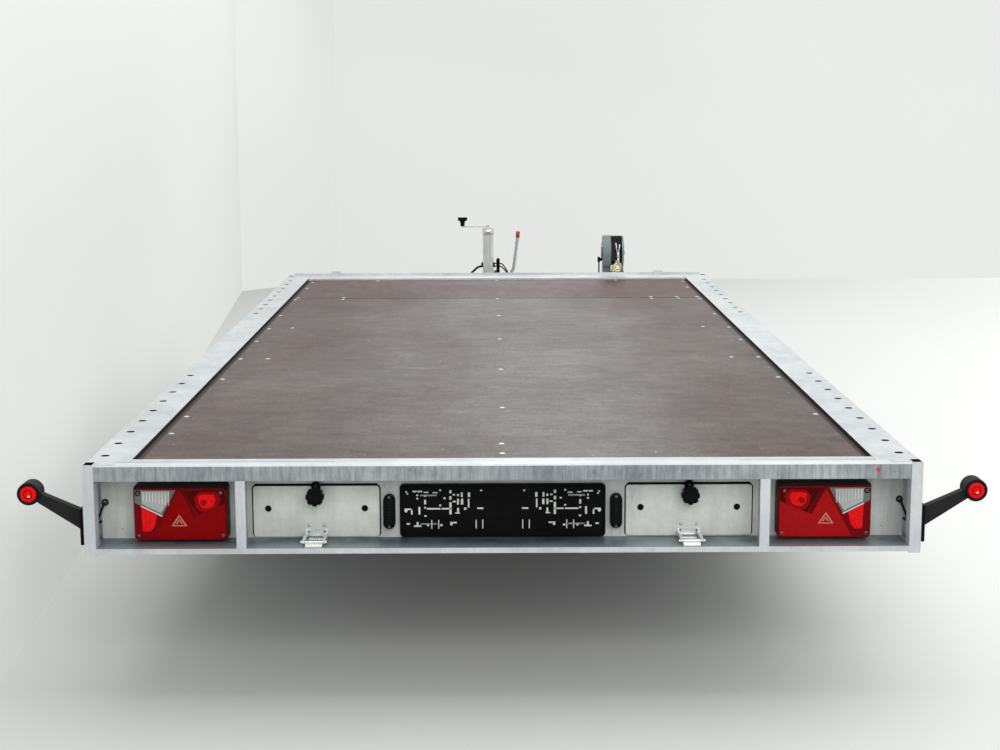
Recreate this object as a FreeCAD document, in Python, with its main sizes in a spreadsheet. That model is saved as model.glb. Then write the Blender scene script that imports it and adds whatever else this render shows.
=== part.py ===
"""A car hauler trailer: flat platform with the wheels under the deck, drawbar, jockey wheel and winch.

Millimetres. +Z is up, +Y points to the coupling, and the origin lies on the ground under the
middle of the overall length. The trailer stands level on its four wheels and its jockey wheel.
"""

import FreeCAD
import Part
import math
import os

from FreeCAD import Vector

doc = FreeCAD.newDocument("car_hauler_trailer")
sizes = doc.addObject("Spreadsheet::Sheet", "Sizes")

# name, millimetres (or a count where the name says so)
DIMENSIONS = [
    ("bed_length", 4500),
    ("drawbar_reach", 1560),
    ("bed_width", 2120),
    ("bed_height", 620),
    ("rail_height", 235),
    ("rail_wall", 4),
    ("rail_flange", 114),
    ("rail_drop", 30),
    ("ledge_width", 51),
    ("rail_foot", 25),
    ("rail_bend", 6),
    ("tie_hole_radius", 11.5),
    ("tie_hole_inset", 35),
    ("tie_hole_first", 118),
    ("tie_hole_last", 246),
    ("tie_hole_pitch", 158.5),
    ("tie_hole_count", 9),
    ("post_width", 29),
    ("post_depth", 41),
    ("post_wall", 3),
    ("post_floor", 5),
    ("weld_gap", 0.5),
    ("header_height", 42),
    ("header_flange", 34),
    ("header_flange_inset", 81),
    ("rear_flange", 72),
    ("footer_height", 18),
    ("footer_lift", 4),
    ("recess_depth", 110),
    ("mid_post_inset", 385),
    ("mid_post_width", 25),
    ("mid_post_depth", 30),
    ("panel_gap", 22),
    ("panel_wall", 3),
    ("panel_return", 26),
    ("front_flange", 150),
    ("front_lip", 12),
    ("lug_inset", 240),
    ("lug_width", 45),
    ("lug_height", 10),
    ("deck_thick", 18),
    ("deck_drop", 8),
    ("deck_gap", 18),
    ("deck_joint", 2),
    ("seal_thick", 10),
    ("member_height", 50),
    ("member_flange", 40),
    ("member_wall", 4),
    ("member_rear_1", 289),
    ("member_rear_2", 820),
    ("member_rear_3", 1536),
    ("member_rear_4", 2260),
    ("member_front_1", 260),
    ("member_front_2", 940),
    ("member_front_3", 1550),
    ("beam_inset", 370),
    ("beam_width", 60),
    ("beam_height", 140),
    ("beam_wall", 5),
    ("axle_middle", 2190),
    ("axle_spread", 720),
    ("tyre_radius", 234),
    ("tyre_width", 196),
    ("marker_arm_drop", 107),
    ("lead_hole_drop", 121),
    ("lead_hole_inset", 10),
    ("lead_fall", 50),
    ("lead_reach", 56),
    ("lever_forward", 100),
    ("clamp_back_rise", 110),
    ("loop_reach", 80),
    ("loop_fall", 100),
    ("winch_foot_long", 100),
    ("hook_radius", 20),
    ("hook_bar", 11),
    ("wheel_inset", 145),
    ("rim_radius", 127),
    ("rim_wall", 7),
    ("hub_radius", 30),
    ("hub_length", 104),
    ("vent_circle", 76),
    ("axle_rise", 92),
    ("axle_lead", 118),
    ("axle_tube", 70),
    ("spindle_radius", 17.5),
    ("spindle_play", 0.08),
    ("arm_width", 24),
    ("arm_gap", 8),
    ("arm_eye", 46),
    ("arm_boss", 34),
    ("cover_clear", 5),
    ("cover_gap", 10.5),
    ("cover_rise", 3),
    ("cover_height", 134),
    ("cover_wall", 3),
    ("cover_corner", 8),
    ("cover_hole_radius", 8.5),
    ("cover_hole_inset", 38),
    ("cover_hole_drop", 59.5),
    ("mouth_edge", 10),
    ("hinge_back", 25),
    ("hinge_rise", 10),
    ("hinge_leaf_width", 58),
    ("hinge_leaf_height", 40),
    ("hinge_leaf_wall", 2.5),
    ("hinge_arm_width", 6),
    ("hinge_pin_radius", 3),
    ("hinge_barrel_radius", 5),
    ("hinge_play", 0.08),
    ("knob_radius", 23.5),
    ("knob_drop", 20),
    ("knob_reach", 45),
    ("knob_thick", 20),
    ("latch_height", 10),
    ("lamp_width", 240),
    ("lamp_height", 144),
    ("lamp_depth", 50),
    ("lamp_corner", 10),
    ("lamp_inset", 114),
    ("lamp_low", 6),
    ("lens_depth", 12),
    ("plate_width", 532),
    ("plate_height", 140),
    ("plate_depth", 9),
    ("plate_lamp_gap", 11.5),
    ("plate_lamp_width", 31),
    ("plate_lamp_height", 90),
    ("plate_lamp_depth", 20),
    ("plate_lamp_drop", 146),
    ("marker_reach", 146),
    ("marker_drop", 82),
    ("marker_radius", 29),
    ("marker_length", 50),
    ("marker_back", 36),
    ("marker_pad", 97),
    ("reflector_length", 90),
    ("reflector_height", 36),
    ("reflector_rise", 85),
    ("drawbar_width", 60),
    ("drawbar_height", 100),
    ("drawbar_wall", 4),
    ("drawbar_low", 390),
    ("leg_overlap", 600),
    ("leg_end", 656),
    ("cheek_half", 60),
    ("cheek_wall", 8),
    ("housing_length", 215),
    ("gaiter_back", 360),
    ("gaiter_length", 120),
    ("ball_back", 45),
    ("ball_height", 430),
    ("ball_socket_radius", 25.5),
    ("lever_height", 256),
    ("lever_lean", 61),
    ("jockey_side", -47),
    ("jockey_back", 810),
    ("jockey_tube_radius", 29),
    ("jockey_tube_rise", 176),
    ("jockey_tube_foot", 400),
    ("jockey_crown_top", 240),
    ("jockey_leg_top", 630),
    ("jockey_leg_radius", 24),
    ("jockey_play", 0.5),
    ("jockey_wheel_radius", 105),
    ("jockey_wheel_width", 60),
    ("jockey_trail", 48),
    ("clamp_wall", 7),
    ("clamp_height", 60),
    ("clamp_handle_top", 12),
    ("crank_reach", 140),
    ("crank_knob_radius", 25),
    ("ramp_length", 2300),
    ("ramp_clear", 18),
    ("ramp_start", 45),
    ("ramp_height", 80),
    ("winch_inset", 461),
    ("winch_width", 108),
    ("winch_radius", 90),
    ("winch_rise", 194),
    ("winch_ahead", 104),
    ("winch_foot", 140),
    ("winch_arm", 150),
]


class Size:
    """A length together with the cell expression that gives it."""

    def __init__(self, value, text):
        self.value = float(value)
        self.text = text

    def __float__(self):
        return self.value

    def __neg__(self):
        return Size(-self.value, f"(-1 * {self.text})")

    def __add__(self, other):
        other = as_size(other)
        return Size(self.value + other.value, f"({self.text} + {other.text})")

    def __sub__(self, other):
        other = as_size(other)
        return Size(self.value - other.value, f"({self.text} - {other.text})")

    def __mul__(self, other):
        other = as_size(other)
        return Size(self.value * other.value, f"({self.text} * {other.text})")

    def __truediv__(self, other):
        other = as_size(other)
        return Size(self.value / other.value, f"({self.text} / {other.text})")

    def __radd__(self, other):
        return as_size(other) + self

    def __rsub__(self, other):
        return as_size(other) - self

    def __rmul__(self, other):
        return as_size(other) * self


def as_size(number):
    return number if isinstance(number, Size) else Size(number, f"({float(number)})")


def root(size):
    return Size(math.sqrt(size.value), f"sqrt({size.text})")


for row, (name, value) in enumerate(DIMENSIONS, start=1):
    sizes.set(f"A{row}", name)
    sizes.set(f"B{row}", str(value))
    sizes.setAlias(f"B{row}", name)
doc.recompute()


def cell(name):
    """The size kept under that name in the sheet."""
    return Size(sizes.get(name), f"Sizes.{name}")


def bind(thing, prop, size):
    """Gives a property its value and ties it to the sheet."""
    size = as_size(size)
    thing.setExpression(prop, size.text)


def place(thing, x, y, z):
    for axis, value in zip("xyz", (x, y, z)):
        bind(thing, f"Placement.Base.{axis}", value)
    return thing


def box(name, low, size):
    """A block from its lowest corner and its three sizes."""
    made = doc.addObject("Part::Box", name)
    for prop, value in zip(("Length", "Width", "Height"), size):
        bind(made, prop, value)
    return place(made, *low)


AXIS_TURNS = {
    "x": FreeCAD.Rotation(Vector(0, 1, 0), 90),
    "y": FreeCAD.Rotation(Vector(1, 0, 0), -90),
    "z": FreeCAD.Rotation(),
}


def cylinder(name, start, axis, radius, length):
    """A round bar from the middle of its first end, along +X, +Y or +Z."""
    made = doc.addObject("Part::Cylinder", name)
    bind(made, "Radius", radius)
    bind(made, "Height", length)
    made.Placement.Rotation = AXIS_TURNS[axis]
    return place(made, *start)


DIRECTIONS = {"x": Vector(1, 0, 0), "y": Vector(0, 1, 0), "z": Vector(0, 0, 1)}


def rounded_box(name, low, size, axis, radius):
    """A block whose four edges along one axis are rounded."""
    block = box(name + "_block", low, size)
    block.recompute()
    made = doc.addObject("Part::Fillet", name)
    made.Base = block
    made.Edges = [
        (number, float(radius), float(radius))
        for number, edge in enumerate(block.Shape.Edges, start=1)
        if abs(edge.tangentAt(edge.FirstParameter).dot(DIRECTIONS[axis])) > 0.9
    ]
    return made


def fuse(name, pieces):
    made = doc.addObject("Part::MultiFuse", name)
    made.Shapes = pieces
    made.Refine = True
    return made


def cut(name, base, tools):
    made = doc.addObject("Part::Cut", name)
    made.Base = base
    made.Tool = tools[0] if len(tools) == 1 else fuse(name + "_tools", tools)
    return made


def group(name, pieces):
    """Separate solids of one kind that share a node."""
    made = doc.addObject("Part::Compound", name)
    made.Links = pieces
    return made


def shaped(name, shape):
    made = doc.addObject("Part::Feature", name)
    made.Shape = shape
    return made


def origin_feature(body, role):
    return next(f for f in body.Origin.OriginFeatures if f.Role == role)


def sketch_on(body, role, name):
    sketch = body.newObject("Sketcher::SketchObject", name)
    sketch.AttachmentSupport = [(origin_feature(body, role), "")]
    sketch.MapMode = "FlatFace"
    return sketch


def polygon(sketch, points):
    """A closed outline of straight lines, each corner tied to the sheet."""
    import Sketcher

    count = len(points)
    flat = [Vector(float(a), float(b), 0) for a, b in points]
    for i in range(count):
        sketch.addGeometry(Part.LineSegment(flat[i], flat[(i + 1) % count]), False)
    for i in range(count):
        sketch.addConstraint(Sketcher.Constraint("Coincident", i, 2, (i + 1) % count, 1))
    for i, point in enumerate(points):
        for kind, value in zip(("DistanceX", "DistanceY"), point):
            value = as_size(value)
            index = sketch.addConstraint(
                Sketcher.Constraint(kind, -1, 1, i, 1, float(value))
            )
            sketch.setExpression(f"Constraints[{index}]", value.text)


def profile_body(name, role, points, length, middle=False, reverse=False, bends=(), bend=None):
    """A body padded from an outline in one of its own planes, with the folds at some corners rounded."""
    body = doc.addObject("PartDesign::Body", name)
    sketch = sketch_on(body, role, name + "_outline")
    polygon(sketch, points)
    pad = body.newObject("PartDesign::Pad", name + "_pad")
    pad.Profile = sketch
    bind(pad, "Length", length)
    pad.Midplane = middle
    pad.Reversed = reverse
    if bends:
        doc.recompute([sketch, pad])
        across = {"XY_Plane": "xy", "XZ_Plane": "xz", "YZ_Plane": "yz"}[role]
        names = []
        for number, edge in enumerate(pad.Shape.Edges, start=1):
            a, b = (vertex.Point for vertex in edge.Vertexes)
            for point in (points[i] for i in bends):
                at_corner = all(
                    abs(getattr(end, axis) - float(value)) < 0.01
                    for end in (a, b)
                    for axis, value in zip(across, point)
                )
                if at_corner:
                    names.append(f"Edge{number}")
        fillet = body.newObject("PartDesign::Fillet", name + "_bends")
        fillet.Base = (pad, names)
        bind(fillet, "Radius", bend)
        body.Tip = fillet
    return body


# places that several pieces share
bed_length = cell("bed_length")
overall_length = bed_length + cell("drawbar_reach")
rear = -overall_length / 2
front = rear + bed_length
tip = overall_length / 2
half = cell("bed_width") / 2
top = cell("bed_height")
foot = top - cell("rail_height")
wall = cell("rail_wall")
flange_inner = half - cell("rail_flange")
ledge_low = top - cell("rail_drop")
ledge_top = ledge_low + wall
ledge_inner = flange_inner - cell("ledge_width")
post_inner = half - cell("post_width")
gap = cell("weld_gap")
header_low = top - cell("header_height")
header_flange_half = half - cell("header_flange_inset")
footer_top = foot + cell("footer_height")
footer_low = foot + cell("footer_lift")
panel_back = rear + cell("recess_depth")
panel_half = half - cell("panel_gap")
mid_post_outer = half - cell("mid_post_inset")
mid_post_inner = mid_post_outer - cell("mid_post_width")
rear_inner = rear + cell("rear_flange")
front_inner = front - cell("front_flange")
deck_top = top - cell("deck_drop")
deck_low = deck_top - cell("deck_thick")
member_low = deck_low - cell("member_height")
beam_low = member_low - cell("beam_height")
beam_inner = half - cell("beam_inset")
tyre_radius = cell("tyre_radius")
wheel_side = half - cell("wheel_inset")
wheel_inner = wheel_side - cell("tyre_width") / 2
axle_lines = {
    "rear": rear + cell("axle_middle") - cell("axle_spread") / 2,
    "front": rear + cell("axle_middle") + cell("axle_spread") / 2,
}
plate_lamp_side = cell("plate_width") / 2 + cell("plate_lamp_gap") + cell("plate_lamp_width") / 2
cover_inner = plate_lamp_side + cell("plate_lamp_width") / 2 + cell("cover_gap")
cover_outer = mid_post_inner - cell("cover_clear")
cover_width = cover_outer - cover_inner
cover_centre = (cover_outer + cover_inner) / 2
cover_low = footer_top + cell("cover_rise")
cover_face = panel_back - cell("cover_wall")
cheek_outer = cell("cheek_half")
leg_back = front - cell("leg_overlap")
leg_front = tip - cell("leg_end")
leg_run = beam_inner - cheek_outer
leg_rise = leg_front - leg_back
leg_length = root(leg_run * leg_run + leg_rise * leg_rise)
leg_slice = cell("drawbar_width") * leg_length / leg_run
leg_low = cell("drawbar_low")
leg_top = leg_low + cell("drawbar_height")
brake_rod_z = leg_low + 32


def leg_inside(y):
    """Distance of a drawbar leg's inner face from the middle plane at the height of y."""
    return beam_inner - (y - leg_back) * leg_run / leg_rise


SIDES = {"left": -1, "right": 1}
nodes = []


def node(thing, name):
    thing.Label = name
    nodes.append(thing)
    return thing


def mirrored_box(name, side, inner, width, y, z, depth, height):
    """A block given by its distance from the middle plane, on the left (-1) or right (1)."""
    x = inner if side > 0 else -(inner + width)
    return box(name, (x, y, z), (width, depth, height))


def side_rail(label, side):
    """Side rail: outer web, hollow top edge with tie-down holes, and a ledge for the deck."""
    def at(distance):
        return distance * side

    points = [
        (at(half - cell("rail_foot")), foot),
        (at(half), foot),
        (at(half), top),
        (at(flange_inner), top),
        (at(flange_inner), ledge_top),
        (at(ledge_inner), ledge_top),
        (at(ledge_inner), ledge_low),
        (at(half - wall), ledge_low),
        (at(half - wall), foot + wall),
        (at(half - cell("rail_foot")), foot + wall),
    ]
    name = f"side_rail_{label}"
    body = profile_body(name + "_fold", "XZ_Plane", points, bed_length, reverse=True,
                        bends=(1, 2), bend=cell("rail_bend"))
    place(body, 0, rear, 0)
    tools = [
        mirrored_box(name + "_hollow", side, flange_inner + wall, cell("rail_flange") - 2 * wall, rear - 1,
                     ledge_top, bed_length + 2, cell("rail_drop") - 2 * wall)
    ]
    for end, start, turn in (("rear", rear, 1), ("front", front, -1)):
        def end_box(part, inner, width, depth, low, height):
            y = start if turn > 0 else start - depth
            return mirrored_box(f"{name}_{end}_{part}", side, inner, width, y, low, depth, height)

        inside = ledge_inner - 1
        tools.append(end_box("post", post_inner - gap, half, cell("post_depth") + gap, foot - 1, top))
        tools.append(end_box("web", inside, half, wall + gap, foot - 1, top))
        reach = cell("rear_flange") if turn > 0 else cell("front_flange")
        ledge_cut = reach + cell("ledge_width") + gap
        tools.append(end_box("ledge", inside, flange_inner - inside, ledge_cut, ledge_low - 1, wall + 2))
    header_cut = cell("header_flange") + gap
    tools.append(
        mirrored_box(name + "_header", side, inside, header_flange_half + gap - inside,
                     rear, top - wall - 1, header_cut, wall + 2)
    )
    rail = cut(name + "_trimmed", body, tools)
    count = int(float(cell("tie_hole_count")))
    reach = cell("tie_hole_pitch") * (count - 1)
    starts = (rear + cell("tie_hole_first"), front - cell("tie_hole_last") - reach)
    holes = []
    for g, start in enumerate(starts):
        for i in range(count):
            hole_y = start + cell("tie_hole_pitch") * i
            holes.append(
                cylinder(f"{name}_hole_{g}_{i}", (at(half - cell("tie_hole_inset")), hole_y, top - 2 * wall),
                         "z", cell("tie_hole_radius"), 3 * wall)
            )
    node(cut(name + "_drilled", rail, [group(name + "_hole_set", holes)]), name)


for label, side in SIDES.items():
    side_rail(label, side)


def corner_posts():
    """Four open square tubes that close the corners of the bed."""
    width, depth, skin = cell("post_width"), cell("post_depth"), cell("post_wall")
    posts = []
    for label, side in SIDES.items():
        for end, y in (("rear", rear), ("front", front - depth)):
            name = f"corner_post_{end}_{label}"
            x = post_inner if side > 0 else -half
            outer = box(name + "_outer", (x, y, foot), (width, depth, top - foot))
            inner = box(name + "_inner", (x + skin, y + skin, foot + cell("post_floor")),
                        (width - 2 * skin, depth - 2 * skin, top - foot))
            posts.append(cut(name, outer, [inner]))
    node(group("corner_posts", posts), "corner_posts")


def rear_frame():
    """Header angle, footer channel and two posts, welded into one frame around the recess."""
    skin = cell("panel_wall")
    header = profile_body("header_fold", "YZ_Plane", [
        (rear, header_low),
        (rear + wall, header_low),
        (rear + wall, top - wall),
        (rear + cell("header_flange"), top - wall),
        (rear + cell("header_flange"), top),
        (rear, top),
    ], 2 * post_inner, middle=True, bends=(5,), bend=cell("rail_bend"))
    corners = [
        mirrored_box(f"header_corner_{label}", side, header_flange_half, half, rear + wall,
                     top - wall - 1, cell("header_flange"), wall + 2)
        for label, side in SIDES.items()
    ]
    footer = profile_body("footer_fold", "YZ_Plane", [
        (rear, footer_low),
        (rear + wall, footer_low),
        (rear + wall, footer_top - skin),
        (panel_back, footer_top - skin),
        (panel_back, footer_low),
        (panel_back + skin, footer_low),
        (panel_back + skin, footer_top),
        (rear, footer_top),
    ], 2 * post_inner, middle=True)
    pieces = [cut("header", header, corners), footer]
    width, depth = cell("mid_post_width"), cell("mid_post_depth")
    for label, side in SIDES.items():
        post = mirrored_box(f"mid_post_{label}_blank", side, mid_post_inner, width,
                            rear, footer_top - 1, depth, header_low - footer_top + 2)
        hollow = mirrored_box(f"mid_post_{label}_hollow", side, mid_post_inner + skin, width - 2 * skin,
                              rear + skin, footer_top, depth, header_low - footer_top)
        pieces.append(cut(f"mid_post_{label}", post, [hollow]))
    node(fuse("rear_frame", pieces), "rear_frame")


def fold_beam(name, inner, sign, reach):
    """Folded end member: a flange at the top, a drop and a ledge under the deck's end."""
    points = [
        (inner - sign * reach, top - wall),
        (inner - sign * wall, top - wall),
        (inner - sign * wall, ledge_low),
        (inner + sign * cell("ledge_width"), ledge_low),
        (inner + sign * cell("ledge_width"), ledge_top),
        (inner, ledge_top),
        (inner, top),
        (inner - sign * reach, top),
    ]
    return profile_body(name + "_fold", "YZ_Plane", points, 2 * (flange_inner - gap), middle=True)


def end_members():
    rear_reach = cell("rear_flange") - cell("header_flange") - gap
    node(fold_beam("rear_beam", rear_inner, 1, rear_reach), "rear_beam")

    span = post_inner - gap
    web = profile_body("front_web_fold", "YZ_Plane", [
        (front - cell("member_flange"), foot),
        (front, foot),
        (front, top + cell("front_lip")),
        (front - wall, top + cell("front_lip")),
        (front - wall, foot + wall),
        (front - cell("member_flange"), foot + wall),
    ], 2 * span, middle=True, bends=(1,), bend=cell("rail_bend"))
    pieces = [fold_beam("front_rail", front_inner, -1, cell("front_flange")), web]
    windows = []
    for label, side in SIDES.items():
        lug_x = half - cell("lug_inset") - cell("lug_width") / 2
        pieces.append(mirrored_box(f"front_lug_{label}", side, lug_x, cell("lug_width"), front - 3 * wall,
                                   top - wall, 3 * wall, cell("front_lip") + cell("lug_height") + wall))
        window_inner = leg_inside(front) - 4
        windows.append(mirrored_box(f"front_window_{label}", side, window_inner,
                                    leg_inside(front - leg_slice) - leg_inside(front) + 8,
                                    front - wall - 1, foot + wall, wall + 2, leg_top - foot))
    windows.append(cylinder("front_rod_hole", (0, front - wall - 1, brake_rod_z), "y", 11, wall + 2))
    node(cut("front_rail", fuse("front_rail_blank", pieces), windows), "front_rail")


def rear_panel():
    """Recessed sheet behind the lamps, with the two mouths of the ramp wells."""
    panel_wall = cell("panel_wall")
    height = ledge_low - footer_top
    sheet = box("panel_sheet", (-panel_half, panel_back, footer_top), (2 * panel_half, panel_wall, height))
    pieces, mouths = [sheet], []
    for label, side in SIDES.items():
        pieces.append(mirrored_box(f"panel_return_{label}", side, panel_half - panel_wall, panel_wall,
                                   panel_back, footer_top, cell("panel_return"), height))
        mouths.append(mirrored_box(f"ramp_mouth_{label}", side, cover_centre - mouth_width / 2,
                                   mouth_width, panel_back - 1, cover_low + mouth_edge,
                                   panel_wall + 2, mouth_height))
    node(cut("rear_panel", fuse("panel_blank", pieces), mouths), "rear_panel")


mouth_edge = cell("mouth_edge")
mouth_width = cover_width - 2 * mouth_edge
mouth_height = cell("cover_height") - 2 * mouth_edge

corner_posts()
rear_frame()
end_members()
rear_panel()


def deck():
    """Two plywood boards on the ledges and cross members, with a rubber strip down each side."""
    board_half = flange_inner - cell("deck_gap")
    seam = front - cell("member_front_2") + cell("member_flange") / 4
    joint = cell("deck_joint")
    start, end = rear_inner + joint / 2, front_inner - joint / 2
    node(box("deck_board", (-board_half, start, deck_low), (2 * board_half, seam - start, cell("deck_thick"))),
         "deck_board")
    node(box("deck_front_board", (-board_half, seam + joint, deck_low),
             (2 * board_half, end - seam - joint, cell("deck_thick"))), "deck_front_board")
    strips = [
        mirrored_box(f"deck_seal_{label}", side, board_half + gap, cell("deck_gap") - 2 * gap,
                     start, deck_top - joint - cell("seal_thick"), end - start, cell("seal_thick"))
        for label, side in SIDES.items()
    ]
    node(group("deck_seals", strips), "deck_seals")


# which end each cross member is measured from
MEMBERS = {
    "member_rear_1": "rear",
    "member_rear_2": "rear",
    "member_rear_3": "rear",
    "member_rear_4": "rear",
    "member_front_3": "front",
    "member_front_2": "front",
    "member_front_1": "front",
}


def cross_members():
    """Channels from rail to rail, notched to lie under the rails' ledges."""
    flange, skin = cell("member_flange"), cell("member_wall")
    long_half, short_half = half - wall - gap, ledge_inner - gap
    under = ledge_low - member_low
    members = []
    for name, end in MEMBERS.items():
        y = rear + cell(name) if end == "rear" else front - cell(name)
        channel = profile_body(name + "_fold", "YZ_Plane", [
            (y, member_low),
            (y + flange, member_low),
            (y + flange, member_low + skin),
            (y + skin, member_low + skin),
            (y + skin, deck_low - skin),
            (y + flange, deck_low - skin),
            (y + flange, deck_low),
            (y, deck_low),
        ], 2 * long_half, middle=True)
        notches = [
            mirrored_box(f"{name}_notch_{label}", side, short_half, half, y - 1,
                         member_low + under, flange + 2, cell("member_height"))
            for label, side in SIDES.items()
        ]
        members.append(cut(name, channel, notches))
    node(group("cross_members", members), "cross_members")


def main_beams():
    """Two channels that run the length of the bed and carry the axles."""
    start = panel_back + cell("panel_wall")
    length = front - wall - start
    inner, width, skin = beam_inner, cell("beam_width"), cell("beam_wall")
    beams = []
    for label, side in SIDES.items():
        channel = profile_body(f"main_beam_{label}", "XZ_Plane", [
            (inner * side, beam_low),
            ((inner + width) * side, beam_low),
            ((inner + width) * side, beam_low + skin),
            ((inner + skin) * side, beam_low + skin),
            ((inner + skin) * side, member_low - skin),
            ((inner + width) * side, member_low - skin),
            ((inner + width) * side, member_low),
            (inner * side, member_low),
        ], length, reverse=True)
        beams.append(place(channel, 0, start, 0))
    node(group("main_beams", beams), "main_beams")


deck()
cross_members()
main_beams()


axle_centre = tyre_radius + cell("axle_rise")
arm_inner = wheel_inner - cell("arm_width") - cell("arm_gap")


def axle(end, y):
    """Square tube under the beams with a bracket at each beam."""
    tube, skin = cell("axle_tube"), cell("beam_wall")
    across = y + cell("axle_lead")
    outer = box(f"axle_{end}_outer", (-arm_inner, across - tube / 2, axle_centre - tube / 2),
                (2 * arm_inner, tube, tube))
    inner = box(f"axle_{end}_inner", (-arm_inner + skin, across - tube / 2 + skin, axle_centre - tube / 2 + skin),
                (2 * (arm_inner - skin), tube - 2 * skin, tube - 2 * skin))
    pieces = [cut(f"axle_{end}_tube", outer, [inner])]
    base, roof = axle_centre + tube / 2 - skin, beam_low
    for label, side in SIDES.items():
        bracket = profile_body(f"axle_{end}_bracket_{label}", "YZ_Plane", [
            (across - tube / 2, base),
            (across + tube / 2, base),
            (across + tube, roof),
            (across - tube, roof),
        ], cell("beam_width") - 2 * skin)
        x = beam_inner + skin if side > 0 else -(beam_inner + cell("beam_width") - skin)
        pieces.append(place(bracket, x, 0, 0))
    node(fuse(f"axle_{end}_welded", pieces), f"axle_{end}")


def swing_arm(end, label, side, y):
    """Trailing arm with the stub spindle that carries the wheel."""
    thick = cell("arm_width")
    name = f"arm_{end}_{label}"
    x = arm_inner if side > 0 else -(arm_inner + thick)
    lead, rise = float(cell("axle_lead")), float(cell("axle_rise"))
    a = Vector(float(x), float(y + cell("axle_lead")), float(axle_centre))
    b = Vector(float(x), float(y), float(tyre_radius))
    along = Vector(0, -lead, -rise).normalize()
    normal = Vector(0, along.z, -along.y)
    ra, rb = float(cell("arm_eye")), float(cell("arm_boss"))
    blade = Part.makePolygon([a + normal * ra, b + normal * rb, b - normal * rb, a - normal * ra, a + normal * ra])
    blade = Part.Face(blade).extrude(Vector(float(thick), 0, 0))
    eye = Part.makeCylinder(ra, float(thick), a, Vector(1, 0, 0))
    boss = Part.makeCylinder(rb, float(thick), b, Vector(1, 0, 0))
    start = b + Vector(float(thick) if side > 0 else 0, 0, 0)
    length = float(wheel_side - arm_inner - thick) + float(cell("hub_length")) / 2 - 22
    spindle = Part.makeCylinder(float(cell("spindle_radius")), length, start, Vector(side, 0, 0))
    return shaped(name, blade.fuse([eye, boss, spindle]).removeSplitter())


def faceted(points, sides, centre):
    """The outline of (x, radius) corners set round the X axis as flat faces, for what repeats."""
    steps = [2 * math.pi * i / sides for i in range(sides)]
    rings = [[Vector(x, q * math.cos(a), q * math.sin(a)) for a in steps] for x, q in points]
    faces = []
    for here, there in zip(rings, rings[1:] + rings[:1]):
        for i in range(sides):
            loop = [here[i - 1], here[i], there[i], there[i - 1], here[i - 1]]
            faces.append(Part.Face(Part.makePolygon(loop)))
    solid = Part.Solid(Part.Shell(faces))
    if solid.Volume < 0:
        solid.reverse()
    solid.translate(centre)
    return solid


def spun(points, centre):
    """The outline of (x, radius) corners turned about the X axis through the centre."""
    corners = [Vector(x, 0, radius) for x, radius in points]
    solid = Part.Face(Part.makePolygon(corners + corners[:1])).revolve(Vector(0, 0, 0), Vector(1, 0, 0), 360)
    solid.translate(centre)
    return solid


TYRE_SIDES = 88


def tyre_points(r, w, bead):
    """Corners of a tyre's section: four on the right, and the same four mirrored."""
    h = r - bead
    right = [(0.40, bead), (0.49, bead + 0.45 * h), (0.45, r - 0.13 * h), (0.37, r)]
    right = [(share * w, radius) for share, radius in right]
    return right + [(-x, radius) for x, radius in reversed(right)]


def wheel(end, label, side, y):
    """Tyre and steel rim; the rim is a flanged barrel with a dished, vented disc and a hub."""
    name = f"{end}_{label}"
    centre = Vector(float(wheel_side * side), float(y), float(tyre_radius))
    r, w, bead = float(tyre_radius), float(cell("tyre_width")), float(cell("rim_radius"))
    tyre = faceted(tyre_points(r, w, bead + 0.5), TYRE_SIDES, centre)
    node(shaped("tyre_" + name + "_turned", tyre), "tyre_" + name)
    bore = float(cell("spindle_radius") + cell("spindle_play"))
    skin, hub, circle = float(cell("rim_wall")), float(cell("hub_radius")), float(cell("vent_circle"))
    reach = float(cell("hub_length")) / 2
    edge, seat, well = 0.44 * w, 0.40 * w + 0.3, 0.20 * w
    barrel = [
        (-edge, bead - skin), (-edge, bead + skin), (-seat, bead), (seat, bead),
        (edge, bead + skin), (edge, bead - skin), (well, bead - 3 * skin), (-well, bead - 3 * skin),
    ]
    dish = [
        (side * 26.0, bead - 2.6 * skin), (side * 34.0, bead - 2.6 * skin), (side * 44.0, circle + 2 * skin),
        (side * 30.0, hub * 2), (side * 30.0, hub + 4), (side * reach * 1.1, hub), (side * reach * 1.1, bore),
        (side * -reach * 0.9, bore), (side * -reach * 0.9, hub + 6), (side * 18.0, hub + 6),
        (side * 22.0, hub * 2), (side * 36.0, circle + 2 * skin),
    ]
    solid = spun(barrel, centre).fuse(spun(dish, centre)).removeSplitter()
    vents = []
    count = 8
    for i in range(count):
        vent = Part.makeCylinder(1.3 * skin, 40, centre + Vector(side * 20, 0, circle), Vector(side, 0, 0))
        vent.rotate(centre, Vector(1, 0, 0), 360 / count * i)
        vents.append(vent)
    node(shaped("rim_" + name + "_turned", solid.cut(vents)), "rim_" + name)


arms = []
for end, y in axle_lines.items():
    axle(end, y)
    for label, side in SIDES.items():
        arms.append(swing_arm(end, label, side, y))
        wheel(end, label, side, y)
node(group("swing_arm_set", arms), "swing_arms")


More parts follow.
